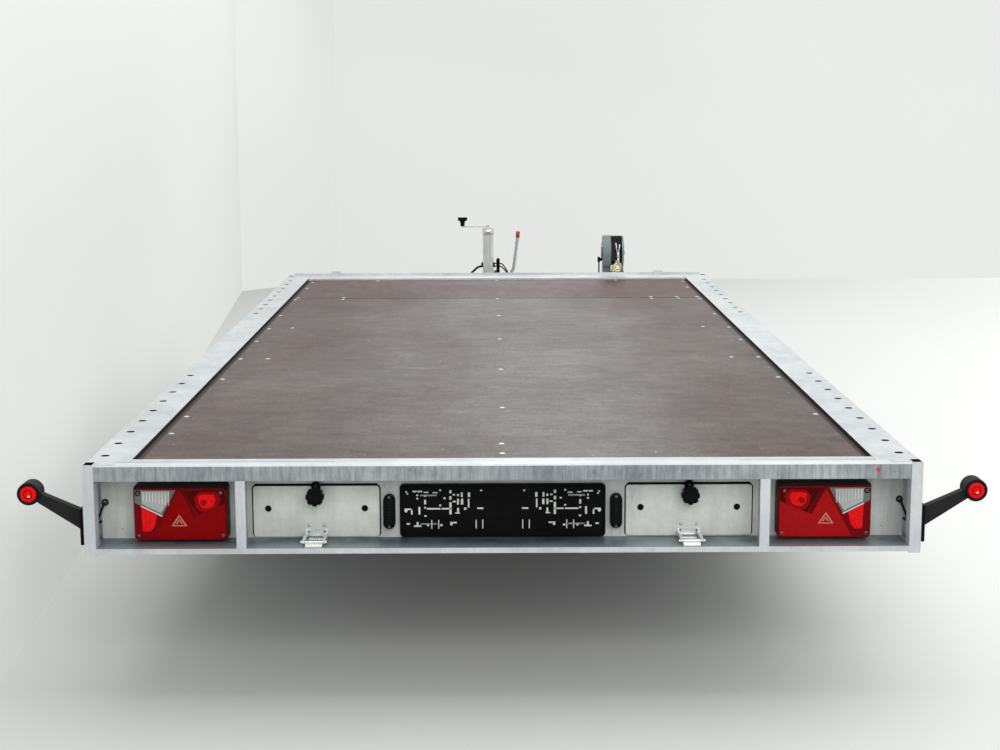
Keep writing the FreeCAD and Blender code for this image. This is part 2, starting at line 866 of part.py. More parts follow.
def cover(label, side):
    """Hinged plate over a ramp well, with two long hinge arms and a star knob."""
    name = f"ramp_cover_{label}"
    width, height, skin = cover_width, cell("cover_height"), cell("cover_wall")
    middle = cover_centre * side
    low, face = cover_low, cover_face
    pin_y, pin_z = rear + cell("hinge_back"), footer_top + cell("hinge_rise")
    barrel = cell("hinge_barrel_radius")
    leaf_half = cell("hinge_leaf_width") / 2
    arm_wide = cell("hinge_arm_width")
    plate = rounded_box(name + "_plate", (middle - width / 2, face, low), (width, skin, height),
                        "y", cell("cover_corner"))
    holes = [
        cylinder(f"{name}_hole_{i}", (middle + (width / 2 - cell("cover_hole_inset")) * i, face - 1,
                                      low + height - cell("cover_hole_drop")),
                 "y", cell("cover_hole_radius"), skin + 2)
        for i in (-1, 1)
    ]
    pieces = [cut(name + "_sheet", plate, holes)]
    leaf_skin = cell("hinge_leaf_wall")
    pieces.append(box(name + "_leaf", (middle - leaf_half, face - leaf_skin, pin_z - barrel),
                      (2 * leaf_half, leaf_skin, cell("hinge_leaf_height"))))
    for i in (-1, 1):
        pieces.append(cylinder(f"{name}_rivet_{i}", (middle + i * 17.0, face - leaf_skin - 2,
                                                     pin_z + cell("hinge_leaf_height") / 2 + 3),
                               "y", 4.5, 3))
        start = middle + leaf_half - arm_wide if i > 0 else middle - leaf_half
        pieces.append(box(f"{name}_arm_{i}", (start, pin_y, pin_z - barrel),
                          (arm_wide, face - pin_y, 2 * barrel)))
        pieces.append(cylinder(f"{name}_knuckle_{i}", (start, pin_y, pin_z), "x", barrel, arm_wide))
    bore = cylinder(name + "_bore", (middle - leaf_half - 1, pin_y, pin_z), "x",
                    cell("hinge_pin_radius") + cell("hinge_play"), 2 * leaf_half + 2)
    node(cut(name, fuse(name + "_blank", pieces), [bore]), name)

    # the half of the hinge that is welded to the footer, with its pin
    knuckle_half = leaf_half - arm_wide - 1
    fixed = [
        box(name + "_seat", (middle - knuckle_half, pin_y - 14, footer_top), (2 * knuckle_half, 34, 2.5)),
        box(name + "_stand", (middle - knuckle_half, pin_y - barrel, footer_top),
            (2 * knuckle_half, 2 * barrel, pin_z - footer_top)),
        cylinder(name + "_fixed_knuckle", (middle - knuckle_half, pin_y, pin_z), "x", barrel, 2 * knuckle_half),
        cylinder(name + "_pin", (middle - leaf_half - 4, pin_y, pin_z), "x", cell("hinge_pin_radius"),
                 2 * leaf_half + 8),
        cylinder(name + "_pin_head_a", (middle - leaf_half - 4.5, pin_y, pin_z), "x", barrel, 4),
        cylinder(name + "_pin_head_b", (middle + leaf_half + 0.5, pin_y, pin_z), "x", barrel, 4),
    ]
    return fuse(f"cover_hinge_{label}", fixed)


def cover_knob(label, side):
    """Star knob on the cover, on a neck from the latch that holds the cover's top edge."""
    name = f"cover_knob_{label}"
    x, z = cover_centre * side, cover_low + cell("cover_height") - cell("knob_drop")
    reach, thick = cell("knob_reach"), cell("knob_thick")
    radius = cell("knob_radius")
    scallop, spread = radius * 0.2, radius * 1.08
    disc = cylinder(name + "_disc", (x, cover_face - reach, z), "y", radius, thick)
    count = 8
    scallops = []
    for i in range(count):
        turn = 2 * math.pi * (i + 0.5) / count
        scallops.append(cylinder(f"{name}_scallop_{i}", (x + spread * math.cos(turn), cover_face - reach - 1,
                                                         z + spread * math.sin(turn)),
                                 "y", scallop, thick + 2))
    latch_wide = radius * 0.8
    pieces = [
        cut(name + "_star", disc, scallops),
        cylinder(name + "_neck", (x, cover_face - reach + thick - 1, z), "y", radius * 0.4, reach - thick + 1),
        box(name + "_latch", (x - latch_wide / 2, cover_face - 4, z - latch_wide / 2),
            (latch_wide, 4, cell("knob_drop") + latch_wide / 2 + cell("latch_height"))),
    ]
    node(fuse(name, pieces), name)


fixed_hinges = []
for label, side in SIDES.items():
    fixed_hinges.append(cover(label, side))
    cover_knob(label, side)
node(group("cover_hinges", fixed_hinges), "cover_hinges")


def rear_lights():
    """Tail lamps, plate holder and plate lamps on the recessed panel."""
    width, height = cell("lamp_width"), cell("lamp_height")
    low = footer_top + cell("lamp_low")
    face, lens = panel_back - cell("lamp_depth"), cell("lens_depth")
    cases, lenses, plate_lamps = [], [], []
    for label, side in SIDES.items():
        x = (half - cell("lamp_inset") - width / 2) * side - width / 2
        cases.append(rounded_box(f"tail_lamp_case_{label}", (x, face + lens, low),
                                 (width, cell("lamp_depth") - lens, height), "y", cell("lamp_corner")))
        lenses.append(rounded_box(f"tail_lamp_lens_{label}", (x + 1, face, low + 1),
                                  (width - 2, lens, height - 2), "y", cell("lamp_corner") - 1))
        small = cell("plate_lamp_width") / 2
        px = plate_lamp_side * side
        pz = top - cell("plate_lamp_drop")
        straight = cell("plate_lamp_height") - 2 * small
        depth = cell("plate_lamp_depth")
        plate_lamps.append(fuse(f"plate_lamp_{label}", [
            box(f"plate_lamp_{label}_mid", (px - small, panel_back - depth, pz - straight / 2),
                (2 * small, depth, straight)),
            cylinder(f"plate_lamp_{label}_high", (px, panel_back - depth, pz + straight / 2), "y", small, depth),
            cylinder(f"plate_lamp_{label}_low", (px, panel_back - depth, pz - straight / 2), "y", small, depth),
        ]))
    node(group("tail_lamp_cases", cases), "tail_lamp_cases")
    node(group("tail_lamp_lenses", lenses), "tail_lamp_lenses")
    node(group("plate_lamps", plate_lamps), "plate_lamps")

    w, h, d = cell("plate_width"), cell("plate_height"), cell("plate_depth")
    plate = rounded_box("plate_blank", (-w / 2, panel_back - d, footer_top + 2), (w, d, h), "y", 11)
    slots = []
    for column in (-0.36, 0.36):
        for line in (0.22, 0.76):
            slots.append(box(f"plate_slot_{len(slots)}",
                             (w * column - 22, panel_back - d - 1, footer_top + 2 + h * line),
                             (44, d + 2, 6)))
    node(cut("plate_holder", plate, slots), "plate_holder")


rear_lights()


def side_lights():
    """Marker lamps on rubber arms at the rear corners, and amber reflectors along the rails."""
    arms, lenses, reflectors = [], [], []
    lamp_z = top - cell("marker_drop")
    lamp_r, reach = cell("marker_radius"), cell("marker_reach")
    y = rear + cell("marker_back")
    length = cell("marker_length")
    for label, side in SIDES.items():
        name = f"marker_{label}"
        pad = mirrored_box(name + "_pad", side, half, 8, y - 2, lamp_z - 33 - cell("marker_pad"), length + 4,
                           cell("marker_pad"))
        points = [
            (half * side, lamp_z - cell("marker_arm_drop")),
            ((half + reach) * side, lamp_z - 12),
            ((half + reach) * side, lamp_z + 8),
            ((half + reach - 30) * side, lamp_z - 2),
            ((half + 7) * side, lamp_z - 50),
            (half * side, lamp_z - 50),
        ]
        arm = profile_body(name + "_arm", "XZ_Plane", points, length / 2, reverse=True)
        place(arm, 0, y + length / 4, 0)
        centre = (half + reach) * side
        case = cylinder(name + "_case", (centre, y, lamp_z), "y", lamp_r, length)
        arms.append(fuse(name, [pad, arm, case]))
        lenses.append(cylinder(name + "_lens_rear", (centre, y - 4, lamp_z), "y", lamp_r * 0.72, 4))
        lenses.append(cylinder(name + "_lens_front", (centre, y + length, lamp_z), "y", lamp_r * 0.72, 4))
        long = cell("reflector_length")
        for i, share in enumerate((0.155, 0.5, 0.845)):
            reflectors.append(mirrored_box(f"reflector_{label}_{i}", side, half, 6,
                                           rear + bed_length * share - long / 2, foot + cell("reflector_rise"),
                                           long, cell("reflector_height")))
    node(group("marker_lamps", arms), "marker_lamps")
    node(group("marker_lenses", lenses), "marker_lenses")
    node(group("side_reflectors", reflectors), "side_reflectors")


side_lights()


def cable(name, points, radius, bend):
    """A round cable: straight runs between the points, joined by tangent arcs."""
    spots = [Vector(*(float(v) for v in point)) for point in points]
    edges = []
    last = spots[0]
    for before, corner, after in zip(spots, spots[1:], spots[2:]):
        into = (before - corner).normalize()
        out = (after - corner).normalize()
        half_turn = (math.pi - into.getAngle(out)) / 2
        reach = bend * math.tan(half_turn)
        a = corner + into * reach
        b = corner + out * reach
        inward = (into + out).normalize()
        middle = corner + inward * (bend / math.cos(half_turn) - bend)
        edges.append(Part.makeLine(last, a))
        edges.append(Part.Arc(a, middle, b).toShape())
        last = b
    edges.append(Part.makeLine(last, spots[-1]))
    along = spots[1] - spots[0]
    ring = Part.Wire([Part.makeCircle(float(radius), spots[0], along)])
    return shaped(name, Part.Wire(edges).makePipeShell([ring], True, False))


def marker_leads():
    """A grommet in the panel on each side, and the lead that runs from it to the rail."""
    leads = []
    for label, side in SIDES.items():
        def at(distance, y, z):
            return (distance * side, y, z)

        x, z = panel_half - cell("lead_hole_inset"), top - cell("lead_hole_drop")
        inner_web = half - wall
        fall, reach = cell("lead_fall"), cell("lead_reach")
        path = [
            at(x, panel_back - 1, z),
            at(x, panel_back - reach * 0.4, z - 2),
            at(inner_web - 8, panel_back - reach * 0.3, z - fall),
            at(inner_web - 3.2, panel_back + reach * 0.45, z - fall * 1.25),
            at(inner_web - 3.2, panel_back + reach, z - fall * 1.3),
        ]
        lead = cable(f"marker_lead_{label}_cable", path, 3, 13)
        ring = cylinder(f"marker_lead_{label}_ring", at(x, panel_back - 4, z), "y", 9, 4)
        leads.append(fuse(f"marker_lead_{label}", [ring, lead]))
    node(group("marker_leads", leads), "marker_leads")


marker_leads()


def drawbar():
    """Two slanting box-section legs from the main beams to the cheek plates of the overrun brake."""
    skin = cell("drawbar_wall")
    shift = skin * leg_slice / cell("drawbar_width")
    for label, side in SIDES.items():
        name = f"drawbar_{label}"
        outline = [
            (beam_inner * side, leg_back),
            (cheek_outer * side, leg_front),
            (cheek_outer * side, leg_front + leg_slice),
            (beam_inner * side, leg_back + leg_slice),
        ]
        inside = [
            ((beam_inner + 1) * side, leg_back + shift),
            ((cheek_outer - 1) * side, leg_front + shift),
            ((cheek_outer - 1) * side, leg_front + leg_slice - shift),
            ((beam_inner + 1) * side, leg_back + leg_slice - shift),
        ]
        outer = profile_body(name + "_outer", "XY_Plane", outline, cell("drawbar_height"))
        place(outer, 0, 0, leg_low)
        inner = profile_body(name + "_inner", "XY_Plane", inside, cell("drawbar_height") - 2 * skin)
        place(inner, 0, 0, leg_low + skin)
        node(cut(name, outer, [inner]), name)


jockey_y = tip - cell("jockey_back")
jockey_x = cell("jockey_side")
clamp_radius = cell("jockey_tube_radius") + cell("clamp_wall")
plate_y = jockey_y + clamp_radius


def drawbar_plates():
    """Cheek plates along the overrun brake and the cross plate that carries the jockey wheel."""
    thick = cell("cheek_wall")
    start = leg_front - 60
    pieces = []
    for label, side in SIDES.items():
        pieces.append(mirrored_box(f"cheek_{label}", side, cheek_outer - thick, thick, start, leg_low - 4,
                                   cell("housing_length") + 30, cell("drawbar_height") + 34))
    outline = [
        (-leg_inside(plate_y), plate_y),
        (leg_inside(plate_y), plate_y),
        (leg_inside(plate_y + 8), plate_y + 8),
        (-leg_inside(plate_y + 8), plate_y + 8),
    ]
    cross = profile_body("cross_plate_blank", "XY_Plane", outline, cell("drawbar_height"))
    place(cross, 0, 0, leg_low + 10)
    rod_hole = cylinder("cross_plate_hole", (0, plate_y - 1, brake_rod_z), "y", 11, 10)
    pieces.append(cut("cross_plate", cross, [rod_hole]))
    node(group("drawbar_plates", pieces), "drawbar_plates")


drawbar()
drawbar_plates()


def coupling():
    """Overrun brake housing, rubber gaiter, ball coupling and its lift handle."""
    half_width = cheek_outer - cell("cheek_wall")
    start = leg_front - 40
    housing_end = tip - cell("gaiter_back")
    head_start = housing_end + cell("gaiter_length")
    z = cell("ball_height") + 14
    housing = fuse("overrun_housing", [
        box("overrun_block", (-half_width, start, leg_low + 6), (2 * half_width, cell("housing_length"), 88)),
        cylinder("overrun_tube", (0, start + 10, z), "y", 38, housing_end - start - 10),
        box("overrun_top_rib", (-10, start + 10, leg_low + 93), (20, cell("housing_length") - 60, 16)),
    ])
    node(housing, "overrun_housing")
    folds = []
    count = 6
    pitch = (head_start - housing_end) / count
    for i in range(count):
        folds.append(cylinder(f"gaiter_fold_{i}", (0, housing_end + pitch * i, z), "y", 36, pitch * 0.55))
        folds.append(cylinder(f"gaiter_neck_{i}", (0, housing_end + pitch * (i + 0.5), z), "y", 31, pitch * 0.5))
    node(fuse("overrun_gaiter", folds), "overrun_gaiter")

    ball_y, ball_z = tip - cell("ball_back"), cell("ball_height")
    head_radius = cell("ball_back")
    head = fuse("coupling_blank", [
        cylinder("coupling_cup", (0, ball_y, ball_z - 18), "z", head_radius, 52),
        box("coupling_neck", (-32, head_start + 4, ball_z - 14), (64, ball_y - head_start - 4, 48)),
        cylinder("coupling_sleeve", (0, head_start, z), "y", 35, 60),
        cylinder("coupling_bolt_a", (-41, head_start + 20, z), "x", 9, 82),
        cylinder("coupling_bolt_b", (-41, head_start + 46, z), "x", 9, 82),
    ])
    ball = doc.addObject("Part::Sphere", "coupling_ball_space")
    bind(ball, "Radius", cell("ball_socket_radius"))
    place(ball, 0, ball_y, ball_z)
    mouth = cylinder("coupling_mouth", (0, ball_y, ball_z - 30), "z", cell("ball_socket_radius"), 30)
    node(cut("coupling_head", head, [ball, mouth]), "coupling_head")
    handle = fuse("coupling_handle", [
        box("handle_base", (-14, ball_y - 62, ball_z + 34), (28, 54, 22)),
        box("handle_grip", (-11, head_start + 12, ball_z + 53), (22, ball_y - head_start - 40, 9)),
        cylinder("handle_end", (-18, head_start + 20, ball_z + 58), "x", 8, 36),
    ])
    node(handle, "coupling_handle")


coupling()


def rod_chain(name, points, radius):
    """A bent round bar through the points, rounded at each bend."""
    pieces = []
    spots = [Vector(*(float(v) for v in point)) for point in points]
    for a, b in zip(spots, spots[1:]):
        pieces.append(Part.makeCylinder(float(radius), (b - a).Length, a, b - a))
    for spot in spots[1:-1]:
        pieces.append(Part.makeSphere(float(radius), spot))
    return shaped(name, pieces[0].fuse(pieces[1:]).removeSplitter())


def brake_gear():
    """Handbrake lever on the right cheek plate, and the brake rod back to the front axle."""
    lever_y, lever_z = leg_front + cell("lever_forward"), leg_top + 17
    high, lean = cell("lever_height"), cell("lever_lean")
    knee_x, end_x = cheek_outer + 14 + (lean - 14) * 0.5, cheek_outer + lean
    lever = fuse("handbrake_lever", [
        cylinder("lever_hub", (cheek_outer, lever_y, lever_z), "x", 16, 24),
        rod_chain("lever_bar", [
            (cheek_outer + 14, lever_y, lever_z), (knee_x, lever_y - high * 0.09, lever_z + high * 0.2),
            (end_x - 2, lever_y - high * 0.27, lever_z + high * 0.88), (end_x, lever_y - high * 0.28, lever_z + high),
        ], 10),
    ])
    node(lever, "handbrake_lever")
    axle_y = axle_lines["front"] + cell("axle_lead")
    axle_top = tyre_radius + cell("axle_rise") + cell("axle_tube") / 2
    rod_end = leg_front - 40
    rod = fuse("brake_rod", [
        cylinder("brake_rod_bar", (0, axle_y, brake_rod_z), "y", 6, rod_end - axle_y),
        box("brake_rod_lug", (-12, axle_y - 12, axle_top), (24, 24, brake_rod_z - axle_top + 14)),
    ])
    node(rod, "brake_rod")


brake_gear()


def jockey():
    """Jockey wheel: fixed tube with crank, sliding inner tube, swivelling fork and wheel."""
    outer_r, leg_r = cell("jockey_tube_radius"), cell("jockey_leg_radius")
    bore = leg_r + cell("jockey_play")
    foot_z = cell("jockey_tube_foot")
    top_z = top + cell("jockey_tube_rise")
    tube = cut("jockey_tube", cylinder("jockey_tube_outer", (jockey_x, jockey_y, foot_z), "z", outer_r,
                                       top_z - foot_z),
               [cylinder("jockey_tube_bore", (jockey_x, jockey_y, foot_z - 1), "z", bore, top_z - 5 - foot_z)])
    node(tube, "jockey_tube")
    clamp_high = cell("clamp_height")
    clamp_z = leg_top - clamp_high * 0.6
    handle_x = jockey_x + clamp_radius + 19
    handle_top = top + cell("clamp_handle_top")
    node(cut("jockey_clamp", fuse("clamp_blank", [
        cylinder("clamp_ring", (jockey_x, jockey_y, clamp_z), "z", clamp_radius, clamp_high),
        box("clamp_ear", (jockey_x + outer_r - 4, jockey_y - 12, clamp_z), (handle_x - jockey_x - outer_r + 12, 24,
                                                                            clamp_high)),
        box("clamp_back", (jockey_x - clamp_radius - 6, plate_y - 9, clamp_z), (2 * clamp_radius + 12, 9,
                                                                              leg_low + cell("clamp_back_rise")
                                                                              - clamp_z)),
        cylinder("clamp_stem", (handle_x, jockey_y, clamp_z + clamp_high - 2), "z", 8,
                 handle_top - clamp_z - clamp_high + 2),
    ]), [cylinder("clamp_bore", (jockey_x, jockey_y, clamp_z - 1), "z", outer_r, clamp_high + 2)]), "jockey_clamp")

    reach, knob_r = cell("crank_reach"), cell("crank_knob_radius")
    crank = fuse("jockey_crank", [
        cylinder("crank_cap", (jockey_x, jockey_y, top_z), "z", outer_r + 2, 6),
        cylinder("crank_boss", (jockey_x, jockey_y, top_z + 5), "z", 11, 16),
        box("crank_arm", (jockey_x - reach, jockey_y - 9, top_z + 9), (reach, 18, 6)),
        cylinder("crank_stem", (jockey_x - reach, jockey_y, top_z + 9), "z", 9, 40),
        cylinder("crank_knob", (jockey_x - reach, jockey_y, top_z + 46), "z", knob_r, 20),
    ])
    node(crank, "jockey_crank")

    wheel_r, wheel_w = cell("jockey_wheel_radius"), cell("jockey_wheel_width")
    crown_top = cell("jockey_crown_top")
    leg_high = cell("jockey_leg_top")
    stub_r = as_size(14)
    leg = cut("jockey_leg", cylinder("jockey_leg_bar", (jockey_x, jockey_y, crown_top), "z", leg_r,
                                     leg_high - crown_top),
              [cylinder("jockey_leg_bore", (jockey_x, jockey_y, crown_top - 1), "z", stub_r + 0.08, 61)])
    node(leg, "jockey_leg")
    trail = cell("jockey_trail")
    fork_half = wheel_w / 2 + 5
    wheel_y = jockey_y - trail
    cheeks = []
    for label, side in SIDES.items():
        x = jockey_x + fork_half if side > 0 else jockey_x - fork_half - 5
        outline = [
            (wheel_y - 16, wheel_r - 16),
            (wheel_y + 16, wheel_r - 16),
            (jockey_y + 30, crown_top - 24),
            (jockey_y + 30, crown_top - 4),
            (jockey_y - 30, crown_top - 4),
            (jockey_y - 34, crown_top - 24),
            (wheel_y - 16, wheel_r + 20),
        ]
        cheek = profile_body(f"fork_cheek_{label}", "YZ_Plane", outline, 5)
        cheeks.append(place(cheek, x, 0, 0))
    fork = fuse("jockey_fork", cheeks + [
        box("fork_crown", (jockey_x - fork_half - 5, jockey_y - 30, crown_top - 7),
            (2 * fork_half + 10, 60, 6.5)),
        cylinder("fork_stub", (jockey_x, jockey_y, crown_top - 1), "z", stub_r, 56),
        cylinder("fork_axle", (jockey_x - fork_half - 9, wheel_y, wheel_r), "x", 6, 2 * fork_half + 18),
    ])
    node(fork, "jockey_fork")
    w, r = float(wheel_w), float(wheel_r)
    outline = [
        (-w / 2 + 6, r, 0, r + 0.0), (w / 2 - 6, r), (w / 2, r - 12), (w / 2, r - 38), (w * 0.22, r - 44),
        (w * 0.22, 26), (w / 2 + 1, 22), (w / 2 + 1, 6.08), (-w / 2 - 1, 6.08), (-w / 2 - 1, 22),
        (-w * 0.22, 26), (-w * 0.22, r - 44), (-w / 2, r - 38), (-w / 2, r - 12),
    ]
    outline[0] = (-w / 2 + 6, r)
    wheel_solid = spun(outline, Vector(float(jockey_x), float(wheel_y), r))
    node(shaped("jockey_wheel", wheel_solid), "jockey_wheel")


jockey()


def jockey_lead():
    """The trailer's plug lead: a band behind the jockey tube, a tail with its plug, and two spare loops."""
    outer_r = cell("jockey_tube_radius")
    band_z, tall = top - 37, 26
    band = cut("lead_band", cylinder("lead_band_outer", (jockey_x, jockey_y, band_z), "z", outer_r + 9, tall), [
        cylinder("lead_band_inner", (jockey_x, jockey_y, band_z - 1), "z", outer_r + 0.3, tall + 2),
        box("lead_band_front", (jockey_x - outer_r - 10, jockey_y - outer_r - 10, band_z - 1),
            (2 * outer_r + 20, outer_r + 10, tall + 2)),
    ])
    z = band_z + 8
    left = jockey_x - outer_r - 4
    tail = cable("lead_tail", [
        (left, jockey_y + 4, z), (left - 26, jockey_y - 4, z - 8), (left - 62, jockey_y - 16, z - 40),
        (left - 78, jockey_y - 22, z - 62),
    ], 6, 14)
    plug = cylinder("plug_body", (left - 80, jockey_y - 23, leg_top + 0.3), "z", 17, 64)
    right = jockey_x + outer_r + 4
    reach, fall = cell("loop_reach"), cell("loop_fall")
    loops = []
    for i, (out, high) in enumerate(((1.0, 22), (0.9, 6))):
        start = band_z + high
        loops.append(cable(f"lead_loop_{i}", [
            (right, jockey_y + 14, start), (right + reach * out * 0.57, jockey_y + 20, start - 4),
            (right + reach * out * 0.93, jockey_y + 28, band_z - fall * 0.26),
            (right + reach * out, jockey_y + 34, band_z - fall * 0.78),
        ], 3.5, 22))
    node(fuse("plug_lead", [band, tail, plug] + loops), "plug_lead")


jockey_lead()


def ramps():
    """Two ladder ramps in their guides under the deck."""
    length, height = cell("ramp_length"), cell("ramp_height")
    width = cover_width - 2 * cell("ramp_clear")
    start = panel_back + cell("panel_wall") + cell("ramp_start")
    low = cover_low + mouth_edge + 2
    rail_wide = as_size(26)
    both, guides = [], []
    rungs = 18
    for label, side in SIDES.items():
        middle = cover_centre * side
        pieces = [
            box(f"ramp_{label}_rail_a", (middle - width / 2, start, low), (rail_wide, length, height)),
            box(f"ramp_{label}_rail_b", (middle + width / 2 - rail_wide, start, low), (rail_wide, length, height)),
        ]
        pitch = (length - 30) / (rungs - 1)
        for i in range(rungs):
            pieces.append(box(f"ramp_{label}_rung_{i}", (middle - width / 2 + 1, start + pitch * i, low + height / 2),
                              (width - 2, 30, height / 2 - 6)))
        both.append(fuse(f"ramp_{label}", pieces))
        for i in (-1, 1):
            web_x = middle + width / 2 + 1 if i > 0 else middle - width / 2 - 4
            foot_x = middle + width / 2 - 20 if i > 0 else middle - width / 2 - 4
            guides.append(fuse(f"guide_{label}_{i}", [
                box(f"guide_{label}_{i}_web", (web_x, start, low - 3), (3, length + 60, member_low - low + 3)),
                box(f"guide_{label}_{i}_foot", (foot_x, start, low - 3), (24, length + 60, 3)),
            ]))
    node(group("ramps", both), "ramps")
    node(group("ramp_guides", guides), "ramp_guides")


ramps()


def winch():
    """Hand winch on a bracket bolted to the front rail: gear case, drum with strap, hook and crank."""
    width, r = cell("winch_width"), cell("winch_radius")
    x0 = half - cell("winch_inset") - width / 2
    z = top + cell("winch_rise") - r
    y = front + cell("winch_ahead")
    shelf = top
    bracket = fuse("winch_bracket", [
        box("bracket_plate", (x0, front, top - cell("winch_foot")), (width, 8, cell("winch_foot"))),
        box("bracket_shelf", (x0, front, shelf), (width, y - front + r, 6)),
        box("bracket_rib_a", (x0, front + 7, top - cell("winch_foot") + 20), (6, y - front, cell("winch_foot") - 16)),
        box("bracket_rib_b", (x0 + width - 6, front + 7, top - cell("winch_foot") + 20),
            (6, y - front, cell("winch_foot") - 16)),
    ])
    node(bracket, "winch_bracket")
    case_wide = as_size(36)
    frame = fuse("winch_frame", [
        cylinder("winch_case", (x0, y, z), "x", r, case_wide),
        cylinder("winch_case_boss", (x0 - 8, y, z), "x", r * 0.36, 9),
        box("winch_foot", (x0 + 2, y - cell("winch_foot_long") / 2, shelf + 6),
            (width - 4, cell("winch_foot_long"), 6)),
        cylinder("winch_plate", (x0 + width - 10, y, z), "x", r - 4, 5),
        box("winch_plate_foot", (x0 + width - 10, y - 46, shelf + 8), (5, 92, z - shelf - 8)),
        box("winch_case_foot", (x0 + 4, y - 46, shelf + 8), (28, 92, z - shelf - 8)),
        cylinder("winch_shaft_end", (x0 + width - 6, y, z), "x", 12, 10),
    ])
    node(frame, "winch_frame")
    drum = fuse("winch_drum", [
        cylinder("drum_core", (x0 + case_wide, y, z), "x", 22, width - 10 - case_wide),
        cylinder("drum_strap", (x0 + case_wide + 5, y, z), "x", r * 0.72, width - 20 - case_wide),
    ])
    node(drum, "winch_drum")
    strap_x = x0 + case_wide + 8
    strap_y = y - r * 0.72
    bow, thick = cell("hook_radius"), cell("hook_bar") / 2
    bow_z = shelf + 6 + bow + thick
    middle = strap_x + (width - 26 - case_wide) / 2
    ring = Part.makeTorus(float(bow), float(thick), Vector(0, 0, 0), Vector(0, -1, 0), -180, 180, 285)
    ring.rotate(Vector(0, 0, 0), Vector(0, 1, 0), 60)
    ring.translate(Vector(float(middle), float(strap_y - 3), float(bow_z)))
    hook = fuse("winch_hook", [
        box("strap_tail", (strap_x, strap_y - 3, z - 30), (width - 26 - case_wide, 3, 32)),
        cylinder("hook_eye", (strap_x - 2, strap_y - 3, z - 32), "x", 6, width - 22 - case_wide),
        box("hook_shank", (middle - 5, strap_y - 8, bow_z + bow - 2), (10, 8, z - 32 - bow_z - bow + 2)),
        shaped("hook_bow", ring),
        cylinder("hook_latch", (middle + bow - 3, strap_y - 3, bow_z - 6), "z", thick * 0.6, bow + 10),
    ])
    node(hook, "winch_hook")
    crank_z, crank_y = z - 40, y + 34
    arm = cell("winch_arm")
    handle = fuse("winch_handle", [
        cylinder("handle_shaft", (x0 - 18, crank_y, crank_z), "x", 8, 18),
        cylinder("handle_boss", (x0 - 24, crank_y, crank_z), "x", 14, 12),
        box("handle_arm", (x0 - 20, crank_y - 10, crank_z - arm), (6, 20, arm + 10)),
        cylinder("handle_grip_bar", (x0 - 66, crank_y, crank_z - arm + 10), "x", 12, 50),
    ])
    node(handle, "winch_handle")


winch()


def write_parts():
    doc.recompute()
    os.makedirs("parts", exist_ok=True)
    for thing in doc.Objects:
        if "Invalid" in thing.State or "Error" in thing.State:
            raise RuntimeError(f"{thing.Name} failed: {thing.State}")
    for thing in nodes:
        shape = thing.Shape
        if shape.isNull() or not shape.isValid() or not shape.Solids:
            raise RuntimeError(f"{thing.Label} has no valid shape")
        if any(solid.Volume <= 0 for solid in shape.Solids):
            raise RuntimeError(f"{thing.Label} has a solid turned inside out")
        shape.exportStep(os.path.join("parts", thing.Label + ".step"))


write_parts()
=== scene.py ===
"""Looks of a car hauler trailer, seen from behind and a little above."""

import math
import random

import bmesh
import bpy
from mathutils import Matrix, Vector


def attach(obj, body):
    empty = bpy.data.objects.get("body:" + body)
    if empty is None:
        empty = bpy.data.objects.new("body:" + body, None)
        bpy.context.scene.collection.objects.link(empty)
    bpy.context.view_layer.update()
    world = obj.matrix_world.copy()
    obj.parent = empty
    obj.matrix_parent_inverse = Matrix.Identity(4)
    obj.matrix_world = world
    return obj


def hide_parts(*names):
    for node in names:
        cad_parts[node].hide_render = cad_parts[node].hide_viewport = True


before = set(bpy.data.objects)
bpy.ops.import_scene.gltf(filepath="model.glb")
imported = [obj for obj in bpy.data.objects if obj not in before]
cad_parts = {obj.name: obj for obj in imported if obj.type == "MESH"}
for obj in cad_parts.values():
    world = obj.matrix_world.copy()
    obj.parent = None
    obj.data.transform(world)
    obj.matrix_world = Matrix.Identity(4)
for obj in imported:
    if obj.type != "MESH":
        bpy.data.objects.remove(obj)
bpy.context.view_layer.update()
scene = bpy.context.scene
random.seed(11)
MM = 0.001
WHITE = (1, 1, 1)

# places on the trailer, in metres
REAR, TOP = -3.030, 0.620  # the rear face and the top of the rails
BED = 4.5  # the rails' length
FRONT = REAR + BED
PANEL = REAR + 0.110  # the rear panel's outer face
LAMP_EDGE, LAMP_LOW = 0.946, 0.409
PLATE_EDGE, PLATE_LOW = 0.266, 0.405
PLATE_LAMP_X = 0.293
COVER_X, COVER_HIGH = 0.482, 0.540
MARKER_X, ARM_INNER, ARM_OUTER = 1.206, 1.060, 1.070
HOLE_X, HOLE_REACH = 1.025, 0.0125
DECK_TOP = 0.612
DECK_SEAM = REAR + 3.570
AXLE_LINES = {"rear": REAR + 1.830, "front": REAR + 2.550}
AXLE_LEAD = 0.118
WHEEL_X, TYRE_WIDTH, TYRE_RADIUS, RIM_RADIUS = 0.915, 0.196, 0.234, 0.1273
JOCKEY_X, JOCKEY_Y, JOCKEY_TOP = -0.047, -REAR - 0.810, 0.796
LEVER_Y = -REAR - 0.556
WINCH_X, WINCH_WIDTH = 0.545, 0.108


# camera: its place, its pitch, yaw and roll in degrees, and its lens in millimetres


CAMERA_PLACE = (-0.025, -7.254, 1.545)
CAMERA_TURNS = (9.388, 0.253, -0.179)
CAMERA_LENS = 61.81


